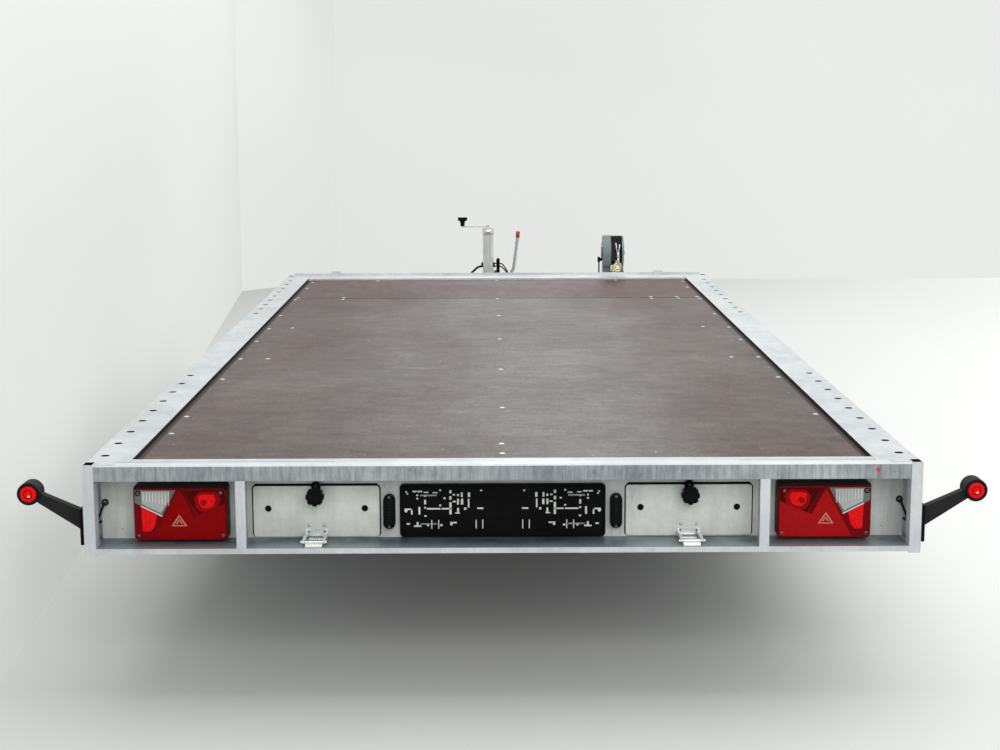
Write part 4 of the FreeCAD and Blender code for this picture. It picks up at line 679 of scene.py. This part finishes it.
def marker_lenses():
    """Round lenses of the marker lamps: red to the rear, clear to the front, with black bezels and a painted
    highlight on each.
    """
    piece = Piece("marker_lens_set")
    for side in (-1, 1):
        for y, turn, key, ring, glint in ((REAR + 0.036, -1, "red_bright", "red_mid", "red_glint"),
                                          (REAR + 0.086, 1, "clear", "clear_rib_and_glint", "clear_rib_and_glint")):
            centre, axis = (side * MARKER_X, y, TOP - 0.082), (0, turn, 0)
            piece.lathe(centre, axis, BEZEL, "gloss_black", 40, ring_shape=True)
            piece.lathe(centre, axis, DOME, key, 40)
            piece.lathe(centre, axis, DOME_RING, ring, 28, ring_shape=True)
            # painted highlight: a small pale block on each lens
            spot, size = Vector(centre) + Vector((0.002, turn * 0.0042, -0.005)), Vector((0.0034, 0.0006, 0.0024))
            piece.block(spot - size, spot + size, glint, 0.0005)
    piece.done(replaced=("marker_lenses",))


def marker_pads():
    """Rubber pads between the marker lamps' arms and the rails."""
    pads = Piece("marker_pads")
    for side in (-1, 1):
        ends = sorted((side * ARM_INNER, side * ARM_OUTER))
        pads.block((ends[0], REAR + 0.002, 0.413), (ends[1], REAR + 0.090, 0.508), "black", 0.002)
        for z in (0.424, 0.498):
            spot = Vector((side * ARM_OUTER, REAR + 0.018, z))
            pads.rod(spot, spot + Vector((side * 0.0012, 0, 0)), 0.0052, "screw_dark", 16)
    pads.done()


tail_lamps()
marker_lenses()
marker_pads()


# rear panel


# slots of the plate holder, in millimetres inwards from its end and up
SLOTS = [
    (33, 119, 44, 123), (46, 119, 58, 123), (62, 117, 74, 120), (85, 116, 98, 119), (208, 121, 213, 125),
    (15, 118, 19, 122), (18, 113, 22, 117), (43, 109, 48, 113), (43, 100, 48, 104), (63, 107, 68, 111),
    (102, 122, 107, 126), (113, 101, 119, 105), (102, 82, 107, 86), (63, 76, 68, 80), (63, 54, 69, 58),
    (63, 87, 68, 99), (12, 72, 33, 76), (29, 60, 33, 76), (48, 60, 53, 80), (70, 73, 105, 77),
    (108, 73, 133, 77), (128, 116, 134, 124), (128, 99, 134, 108), (128, 60, 134, 92), (137, 110, 143, 114),
    (148, 108, 153, 114), (158, 106, 163, 118), (176, 106, 182, 118), (148, 86, 153, 101), (158, 86, 164, 101),
    (137, 92, 145, 96), (176, 78, 180, 101), (148, 65, 153, 77), (166, 72, 172, 78), (143, 62, 155, 65),
    (200, 74, 216, 78), (17, 33, 26, 37), (36, 27, 55, 31), (43, 31, 48, 40), (70, 29, 75, 34),
    (104, 29, 110, 34), (130, 31, 136, 40), (137, 36, 147, 40), (81, 22, 83.5, 45), (99, 22, 101.5, 45),
    (196, 22, 198.5, 46), (213, 22, 215.5, 46),
]


def plate_slots():
    """Slots and ribs of the plate holder, the same on the left and the right."""
    piece = Piece("plate_holder_slots")
    face = PANEL - 0.009
    inside = face + 0.001

    def bar(x0, x1, z0, z1, rise, bevel):
        piece.block((x0, face - rise, PLATE_LOW + z0 * MM), (x1, inside, PLATE_LOW + z1 * MM), "black", bevel)

    for side in (-1, 1):
        for u0, v0, u1, v1 in SLOTS:
            ends = sorted((side * (PLATE_EDGE - u0 * MM), side * (PLATE_EDGE - u1 * MM)))
            piece.block((ends[0], face - 0.0004, PLATE_LOW + v0 * MM), (ends[1], inside, PLATE_LOW + v1 * MM),
                        "slot_light")
    for v in (46, 104):
        bar(-0.078, 0.078, v, v + 2, 0.0012, 0.0004)
    bar(-0.002, 0.002, 46, 106, 0.0012, 0.0004)
    for v in (6, 132):
        bar(-0.258, 0.258, v, v + 3, 0.0028, 0.001)
    for x in (-0.263, 0.260):
        bar(x, x + 0.003, 12, 128, 0.0028, 0.001)
    for x in (-0.25, 0.25):
        piece.rod((x, face - 0.0022, PLATE_LOW + 0.070), (x, inside, PLATE_LOW + 0.070), 0.004, "zinc", 16)
    piece.done()


def plate_lamp_lenses():
    """Ribbed dark lens in each plate lamp."""
    piece = Piece("plate_lamp_lens_set")
    y, z = PANEL - 0.020, TOP - 0.146
    for side in (-1, 1):
        x = side * PLATE_LAMP_X
        for i in range(9):
            rib = z - 0.032 + 0.008 * i
            piece.block((x - 0.0085, y - 0.0008, rib - 0.0028), (x + 0.0085, y + 0.001, rib + 0.0028),
                        "gloss_black", 0.0008)
        for rise in (0.0395, -0.0395):
            piece.rod((x, y - 0.0012, z + rise), (x, y + 0.001, z + rise), 0.0032, "screw_dark", 14)
    piece.done()


RIVET = [(0, 0.0048), (0.0016, 0.0046), (0.0028, 0.0032), (0.0031, 0.001)]
HOLE_RIM = [(0, 0.0112), (0.0006, 0.0108), (0.0007, 0.0088), (0, 0.0086)]
LATCH = [(0, 0.0125), (0.004, 0.0122), (0.006, 0.0105), (0.0065, 0.003)]
LATCH_SCREW = [(0, 0.0032), (0.002, 0.003), (0.0022, 0.001)]
KNOB_FACE = [(-0.003, 0.0155), (0.0004, 0.0148), (0.0012, 0.012), (0.0003, 0.009), (0.0006, 0.002)]


def cover_fittings():
    """Rivets, latch bolts, star knobs and hinge leaves of the ramp covers, and a painted shadow round each: a black
    outline on the panel, thicker above the cover.
    """
    back = (0, -1, 0)
    face = PANEL - 0.003
    for label, side in (("left", -1), ("right", 1)):
        x = side * COVER_X
        piece = Piece(f"cover_fittings_{label}")
        for i in (-1, 1):
            piece.lathe((x + i * 0.019, face - 0.0024, 0.437), back, RIVET, "zinc_dark", 18)
            piece.lathe((x + i * 0.125, face + 0.0002, COVER_HIGH - 0.0595), back, HOLE_RIM, "cover", 28,
                        ring_shape=True)
        piece.lathe((x, face - 0.004, COVER_HIGH + 0.001), back, LATCH, "black", 28)
        piece.lathe((x, face - 0.0105, COVER_HIGH + 0.001), back, LATCH_SCREW, "screw_dark", 14)
        knob = Vector((x, face - 0.045, COVER_HIGH - 0.020))
        piece.lathe(knob, back, KNOB_FACE, "black", 32)
        for i in range(8):
            turn = 2 * math.pi * i / 8
            spot = knob + Vector((0.0195 * math.cos(turn), 0.001, 0.0195 * math.sin(turn)))
            piece.rod(spot + Vector((0, -0.0014, 0)), spot + Vector((0, 0.017, 0)), 0.0042, "black", 14)
        piece.done(f"cover_{label}")

        leaf = Piece(f"hinge_leaf_{label}")
        top = face - 0.0022
        leaf.block((x - 0.0292, face - 0.0030, 0.4083), (x + 0.0292, top, 0.4265), "zinc_bright", 0.0002)
        for i in (-1, 1):
            screw, arm = x + i * 0.0215, x + i * 0.0255
            leaf.rod((screw, face - 0.0035, 0.4200), (screw, face - 0.0024, 0.4200), 0.0032, "screw_dark", 16)
            leaf.block((arm - 0.0038, REAR + 0.0270, 0.4165), (arm + 0.0038, top, 0.4196), "zinc_bright", 0.0004)
        leaf.done(f"cover_{label}")

        fixed = Piece(f"cover_hinge_plate_and_shadow_{label}")
        fixed.block((x - 0.0215, REAR + 0.0080, 0.4032), (x + 0.0215, PANEL - 0.0060, 0.4046), "zinc_bright", 0.0004)
        # painted shadow: black outlines on the panel round the cover, thicker above it
        gap = PANEL - 0.0001
        fixed.prism(rounded(x - 0.160, 0.5398, x + 0.160, 0.5462, 0.003), PANEL - 0.0008, gap, "joint_and_shadow_black")
        fixed.prism(rounded(x - 0.1665, 0.4045, x + 0.1665, 0.5435, 0.011), PANEL - 0.0006, gap, "joint_and_shadow_black")
        fixed.done()


def panel_fittings():
    """Rivets of the rear panel, and bolts on the pads of the marker lamps."""
    piece = Piece("panel_fittings")
    rivet = [(0, 0.0042), (0.0012, 0.004), (0.002, 0.0026), (0.0022, 0.0008)]
    for side in (-1, 1):
        for x in (0.985, 0.692):
            for z in (0.430, 0.560):
                piece.lathe((side * x, PANEL, z), (0, -1, 0), rivet, "panel", 14)
        for z in (0.435, 0.480):
            piece.bolt((side * 1.068, REAR + 0.050, z), (side, 0, 0), (0.0075, 0.0052), (0.0105, 0.0015))
    piece.done()


plate_slots()
plate_lamp_lenses()
cover_fittings()
panel_fittings()


# deck


def deck_screws():
    """Countersunk screws along the edges of the boards and over the cross members."""
    piece = Piece("deck_screws")
    spots = [(917, y) for y in (698, 1355, 1788, 2225, 2568, 2981, 3540, 3990, 4240)]
    spots += [(822, 1790), (822, 2589), (706, 3606), (702, 3540), (592, 4310), (891, 95), (781, 97), (912, 3600)]
    places = [(x * side, y) for x, y in spots for side in (-1, 1)]
    places += [(0, y) for y in (165, 289, 820, 1536, 2260, 2950, 3556, 4325)]
    places += [(822, 3606), (828, 3545), (-917, 445)]
    head = [(0, 0.0080), (0.0008, 0.0076), (0.0012, 0.0062), (0.0006, 0.0024)]
    for x, y in places:
        spot = (x * MM + random.uniform(-0.004, 0.004), REAR + y * MM, DECK_TOP)
        piece.lathe(spot, (0, 0, 1), head, "screw_bright", 18)
    piece.done()


def deck_seam():
    """Sealant in the joint of the two boards, and the dark seams on top of the rear frame."""
    piece = Piece("deck_joint")
    piece.block((-0.927, DECK_SEAM - 0.0024, 0.598), (0.927, DECK_SEAM + 0.0044, 0.6122), "joint_and_shadow_black")
    piece.done()
    for label, start, end in (("left", -0.978, -0.425), ("right", 0.600, 0.948)):
        piece = Piece(f"rear_seam_{label}")
        piece.block((start, REAR + 0.0345, TOP - 0.0008), (end, REAR + 0.0362, TOP + 0.0001), "joint_and_shadow_black")
        piece.done()


def grommet_centres():
    """The pale middle of the ring that holds each marker lamp's lead."""
    piece = Piece("grommet_centres")
    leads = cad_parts["marker_leads"]
    spots = [leads.matrix_world @ v.co for v in leads.data.vertices]
    for side in (-1, 1):
        ring = [v for v in spots if v.x * side > 0 and v.z > 0.5072]
        face = min(v.y for v in ring)
        x = sum(v.x for v in ring) / len(ring)
        piece.rod((x, face + 0.001, 0.499), (x, face - 0.0004, 0.499), 0.0038, "zinc_bright", 20)
    piece.done()


deck_screws()
deck_seam()
grommet_centres()


# wheels


# half of the tyre's outline: shares of the width, with shares of the height over the rim or depths in the tread
SIDEWALL = [(0.400, 0), (0.425, 0.05), (0.440, 0.16), (0.455, 0.17), (0.478, 0.32), (0.488, 0.46), (0.486, 0.50),
            (0.480, 0.51), (0.474, 0.66), (0.462, 0.78), (0.455, 0.785), (0.440, 0.855), (0.400, 0.915),
            (0.290, 0.945)]
TREAD = [(0.270, 0.004), (0.262, 0.0004), (0.158, 0.0002), (0.150, 0.007), (0.115, 0.007), (0.107, 0),
         (0.016, 0), (0.010, 0.006)]
TREAD_BLOCKS = 46
HUB_CAP = [(-0.001, 0.0292), (0.004, 0.0286), (0.010, 0.026), (0.0125, 0.020), (0.0132, 0.004)]


def tyre(name, centre):
    """Road tyre with grooves, shoulder blocks and a stepped sidewall."""
    height = TYRE_RADIUS - RIM_RADIUS
    half = [(x * TYRE_WIDTH, RIM_RADIUS + share * height) for x, share in SIDEWALL]
    half += [(x * TYRE_WIDTH, TYRE_RADIUS - depth) for x, depth in TREAD]
    piece = Piece(f"tyre_detail_{name}")
    piece.lathe(centre, (1, 0, 0), half + [(-x, radius) for x, radius in reversed(half)], "tyre", 96,
                ring_shape=True)
    for i in range(TREAD_BLOCKS):
        for flank in (-1, 1):
            turn = 2 * math.pi * (i + 0.25 * flank) / TREAD_BLOCKS
            place = Matrix.Translation(centre) @ Matrix.Rotation(turn, 4, "X")
            place = place @ Matrix.Translation((flank * 0.0715, 0, TYRE_RADIUS - 0.0062))
            size = Matrix.Diagonal((0.0270, 0.0235, 0.0108, 1))
            piece.cube(place @ Matrix.Rotation(flank * 0.18, 4, "Z") @ size, "tyre")
    piece.done(f"wheel_{name}", (f"tyre_{name}",))


def wheel_fittings(name, centre, out):
    """Wheel bolts, hub cap and valve, on the side that out points to."""
    fit = Piece(f"wheel_fittings_{name}")
    face = centre + Vector((out * 0.030, 0, 0))
    for i in range(5):
        turn = 2 * math.pi * i / 5 + math.pi / 2
        spot = face + Vector((0, 0.047 * math.cos(turn), 0.047 * math.sin(turn)))
        fit.rod(spot, spot + Vector((out * 0.004, 0, 0)), 0.0115, "zinc", 24, 0.0095)
        fit.rod(spot + Vector((out * 0.003, 0, 0)), spot + Vector((out * 0.015, 0, 0)), 0.0098, "zinc", 6)
    fit.lathe(centre + Vector((out * 0.0572, 0, 0)), (out, 0, 0), HUB_CAP, "rim", 36)
    valve = centre + Vector((out * 0.062, 0, 0.114))
    fit.rod(valve, valve + Vector((out * 0.026, 0, -0.006)), 0.0042, "black", 14)
    fit.done(f"wheel_{name}")


for end, along in AXLE_LINES.items():
    for label, side in (("left", -1), ("right", 1)):
        hub = Vector((side * WHEEL_X, along, TYRE_RADIUS))
        tyre(f"{end}_{label}", hub)
        wheel_fittings(f"{end}_{label}", hub, side)


# drawbar, jockey wheel and winch


GRIP_CAP = [(0, 0.0112), (0.003, 0.0095), (0.0045, 0.006), (0.005, 0.002)]
CLAMP_GRIP = [(0, 0.0084), (0.002, 0.0095), (0.030, 0.0092), (0.033, 0.0086), (0.037, 0.0086), (0.040, 0.0098),
              (0.078, 0.0098), (0.084, 0.0088), (0.0852, 0.003)]
CRANK_KNOB = [(-0.0245, 0.0110), (-0.012, 0.0116), (0.002, 0.0140), (0.0050, 0.0215), (0.0056, 0.0256),
              (0.0250, 0.0257), (0.0257, 0.0220), (0.0259, 0.010)]
TUBE_RING = [(-0.030, 0.0292), (-0.030, 0.0308), (0.0005, 0.0308), (0.0005, 0.0292)]
TUBE_CAP = [(0.0003, 0.0306), (0.0062, 0.0295), (0.0068, 0.014)]


def drawbar_fittings():
    """Bolts of the overrun brake, the lever's grip, the clamp's grip, and the crank's knob and cap."""
    up = (0, 0, 1)
    piece = Piece("drawbar_fittings")
    for side in (-1, 1):
        for x, y in ((0.1393, 2.340), (0.1016, 2.430), (0.0765, 2.490)):
            for z in (0.412, 0.468):
                piece.bolt((side * x, y, z), (side * 0.9220, 0.3872, 0), (0.0105, 0.0096), (0.014, 0.0016),
                           segments=28)
    grip = Vector((0.121, LEVER_Y - 0.0717, 0.763))
    piece.rod((0.119, LEVER_Y - 0.0691, 0.7323), grip + Vector((0.0002, 0, 0)), 0.0112, "grip_red", 28)
    piece.lathe(grip, up, GRIP_CAP, "grip_red", 28)
    piece.lathe((JOCKEY_X + 0.055, JOCKEY_Y, 0.548), up, CLAMP_GRIP, "black", 24)
    piece.lathe((JOCKEY_X - 0.140, JOCKEY_Y, JOCKEY_TOP + 0.040), up, CRANK_KNOB, "black", 36)
    tube = (JOCKEY_X, JOCKEY_Y, JOCKEY_TOP)
    piece.lathe(tube, up, TUBE_RING, "zinc", 40, ring_shape=True)
    piece.lathe(tube, up, TUBE_CAP, "zinc", 40)
    x = JOCKEY_X + 0.040
    for z in (0.530, 0.500, 0.470):
        piece.rod((x, JOCKEY_Y - 0.0135, z), (x, JOCKEY_Y - 0.0190, z), 0.007, "zinc", 6)
    piece.done()
    nuts = Piece("jockey_wheel_fittings")
    for side in (-1, 1):
        spot = Vector((JOCKEY_X + side * 0.0405, JOCKEY_Y - 0.048, 0.105))
        nuts.rod(spot, spot + Vector((side * 0.0055, 0, 0)), 0.0095, "zinc", 6)
    nuts.done("jockey_swivel")


def frame_bolts():
    """Bolts of the axle brackets, the drawbar's root and the winch bracket, and pins of the side reflectors."""
    piece = Piece("frame_bolts")
    for side in (-1, 1):
        for along in AXLE_LINES.values():
            for step in (-0.052, 0.052):
                piece.bolt((side * 0.720, along + AXLE_LEAD + step, 0.4088), (0, 0, 1), (0.010, 0.0085),
                           (0.0135, 0.0020), sink=0.0003)
        for y in (0.915, 1.010):
            for z in (0.425, 0.462):
                piece.bolt((side * 0.695, y, z), (side, 0, 0), (0.010, 0.009), (0.0135, 0.002))
        for share in (0.155, 0.5, 0.845):
            for step in (-0.040, 0.040):
                spot = Vector((side * 1.066, REAR + BED * share + step, 0.488))
                piece.rod(spot, spot + Vector((side * 0.0012, 0, 0)), 0.0026, "screw_dark", 12)
    for x in (0.572, 0.626):
        for z in (0.520, 0.585):
            piece.bolt((x, FRONT + 0.008, z), (0, 1, 0), (0.009, 0.008), (0.0125, 0.002))
    piece.done()


# straight parts of the hook and its strap: start, end, both radii and the look
HOOK_RODS = [
    ((0, 0, 0.020), (0.002, 0, 0.052), 0.0105, 0.0070, "brass"),
    ((-0.030, 0, -0.020), (-0.016, 0, -0.012), 0.0080, 0.0080, "brass"),
    ((-0.030, 0, -0.004), (-0.018, 0, 0.010), 0.0060, 0.0050, "brass"),
    ((-0.012, 0, 0.030), (0.012, 0, 0.040), 0.0050, 0.0050, "brass"),
    ((0.002, 0, 0.050), (0.000, 0, 0.078), 0.0075, 0.0065, "zinc_bright"),
    ((0.004, 0, 0.076), (0.008, 0, 0.118), 0.0034, 0.0030, "zinc_bright"),
    ((-0.004, 0, 0.076), (-0.012, 0, 0.126), 0.0034, 0.0030, "zinc_bright"),
]
STRAP_TURN = [(0, 0.0590), (0.0004, 0.0656), (0.0100, 0.0656), (0.0105, 0.0590)]
FLANGE_OUTER = [(0, 0.0862), (0.0022, 0.0866), (0.0024, 0.030)]
FLANGE_INNER = [(0, 0.0880), (0.0022, 0.0876), (0.0024, 0.030)]
CRANK_GRIP = [(0.0, 0.010), (0.003, 0.0125), (0.044, 0.0125), (0.048, 0.011)]


def winch_fittings():
    """Gear-case bolts, strap turns, drum flanges and crank grip of the winch, and the round body of its hook."""
    right = (1, 0, 0)
    y, z = FRONT + 0.104, TOP + 0.104
    far = WINCH_X + WINCH_WIDTH
    piece = Piece("winch_fittings")
    for i in range(6):
        turn = 2 * math.pi * (i + 0.5) / 6
        for x, ring, height, radius in ((WINCH_X, 0.074, -0.005, 0.0055), (far - 0.005, 0.070, 0.0035, 0.0045)):
            spot = Vector((x, y + ring * math.cos(turn), z + ring * math.sin(turn)))
            piece.rod(spot, spot + Vector((height, 0, 0)), radius, "zinc", 6)
    for i in range(5):
        piece.lathe((WINCH_X + 0.0415 + i * 0.0103, y, z), right, STRAP_TURN, "strap", 64)
    piece.lathe((far - 0.0125, y, z), right, FLANGE_OUTER, "winch_plate", 64)
    piece.lathe((WINCH_X + 0.0362, y, z), right, FLANGE_INNER, "winch", 64)
    piece.lathe((WINCH_X - 0.066, y + 0.034, z - 0.180), right, CRANK_GRIP, "black", 28)
    piece.block((WINCH_X + 0.0375, y - 0.030, z), (far - 0.0120, y + 0.030, z + 0.0835), "strap")
    piece.done()
    hook = Piece("winch_hook_body")
    middle = Vector((WINCH_X + 0.0740, y - 0.0678, TOP + 0.0325))
    turns = [math.radians(t) for t in range(-205, 61, 19)]
    spots = [middle + Vector((0.0205 * math.sin(t), 0, 0.0205 * math.cos(t))) for t in turns]
    for a, b in zip(spots, spots[1:]):
        hook.rod(a, b, 0.0086, "brass", 16)
    for start, end, first, last, key in HOOK_RODS:
        hook.rod(middle + Vector(start), middle + Vector(end), first, key, 18, last)
    hook.done()


drawbar_fittings()
frame_bolts()
winch_fittings()


# stage


def paper(name, shade, glow, rise=0.0):
    """Matt studio paper that is clear when seen from behind; its glow rises towards +x."""
    g = Graph(name)
    tone = (shade, shade * 1.01, shade * 0.985)
    dark = tuple(c * 0.97 for c in tone)
    g.colour(g.ramp(g.noise(0.3, 3), [(0.3, dark), (0.7, tone)]))
    g.rough(0.6)
    g.set(specular=0.2)
    g.shader.inputs["Emission Color"].default_value = (0.98, 1.0, 0.96, 1)
    g.set(glow=glow)
    if rise:
        more = g.math("MULTIPLY", g.axis("X", 0.5, 5.0), rise)
        g.feed(g.shader.inputs["Emission Strength"], g.math("ADD", more, glow))
    clear = g.add("ShaderNodeBsdfTransparent")
    facing = g.add("ShaderNodeNewGeometry")
    choice = g.add("ShaderNodeMixShader")
    g.link(facing.outputs["Backfacing"], choice.inputs["Fac"])
    g.link(g.shader.outputs["BSDF"], choice.inputs[1])
    g.link(clear.outputs["BSDF"], choice.inputs[2])
    g.link(choice.outputs["Shader"], g.nodes["Material Output"].inputs["Surface"])
    return g.material


def sheet(name, corners, material):
    """A flat piece of the studio, which neither shades nor lights the trailer."""
    mesh = bpy.data.meshes.new(name)
    mesh.from_pydata(corners, [], [tuple(range(len(corners)))])
    mesh.materials.append(material)
    made = bpy.data.objects.new(name, mesh)
    scene.collection.objects.link(made)
    made.visible_shadow = False
    made.visible_diffuse = False


def stage():
    """A pale floor, a wall close on the left, a far wall, and even light from all round."""
    sheet("studio_floor", [(-16, -14, 0), (16, -14, 0), (16, 16, 0), (-16, 16, 0)],
          paper("floor_paper", 0.69, 0.0, 0.52))
    plan = [(-1.02, -7.3), (-1.99, 6.19), (-1.30, 6.95), (9.0, 6.95)]
    glows = [(0.17, 0.0), (0.145, 0.0), (0.150, 0.08)]
    height = 7
    for i, (start, end, glow) in enumerate(zip(plan, plan[1:], glows)):
        corners = [(*start, 0), (*end, 0), (*end, height), (*start, height)]
        sheet(f"studio_wall_{i}", corners, paper(f"wall_paper_{i}", 0.80, *glow))
    world = bpy.data.worlds.new("studio")
    world.use_nodes = True
    sky = world.node_tree.nodes["Background"]
    sky.inputs["Color"].default_value = (0.95, 0.97, 0.96, 1)
    sky.inputs["Strength"].default_value = 0.57
    scene.world = world


def area_light(name, place, target, size, power):
    """A rectangular light that faces the target."""
    data = bpy.data.lights.new(name, "AREA")
    data.shape = "RECTANGLE"
    data.size, data.size_y = size
    data.energy = power
    light = bpy.data.objects.new(name, data)
    light.location = place
    light.rotation_euler = (Vector(target) - Vector(place)).to_track_quat("-Z", "Y").to_euler()
    scene.collection.objects.link(light)


stage()
area_light("overhead", (1.0, -0.5, 6.0), (0, -0.5, 0), (7, 9), 268)
area_light("behind_camera", (1.5, -10.0, 4.2), (0, -3, 0.4), (6, 4), 305)
area_light("far_end", (0.3, 6.2, 3.4), (0, 0, 0.6), (2.2, 2.4), 30)
area_light("right_side", (6.0, -1.0, 4.0), (3.0, -1.5, 0), (3, 4), 60)
scene.view_settings.view_transform = "Standard"
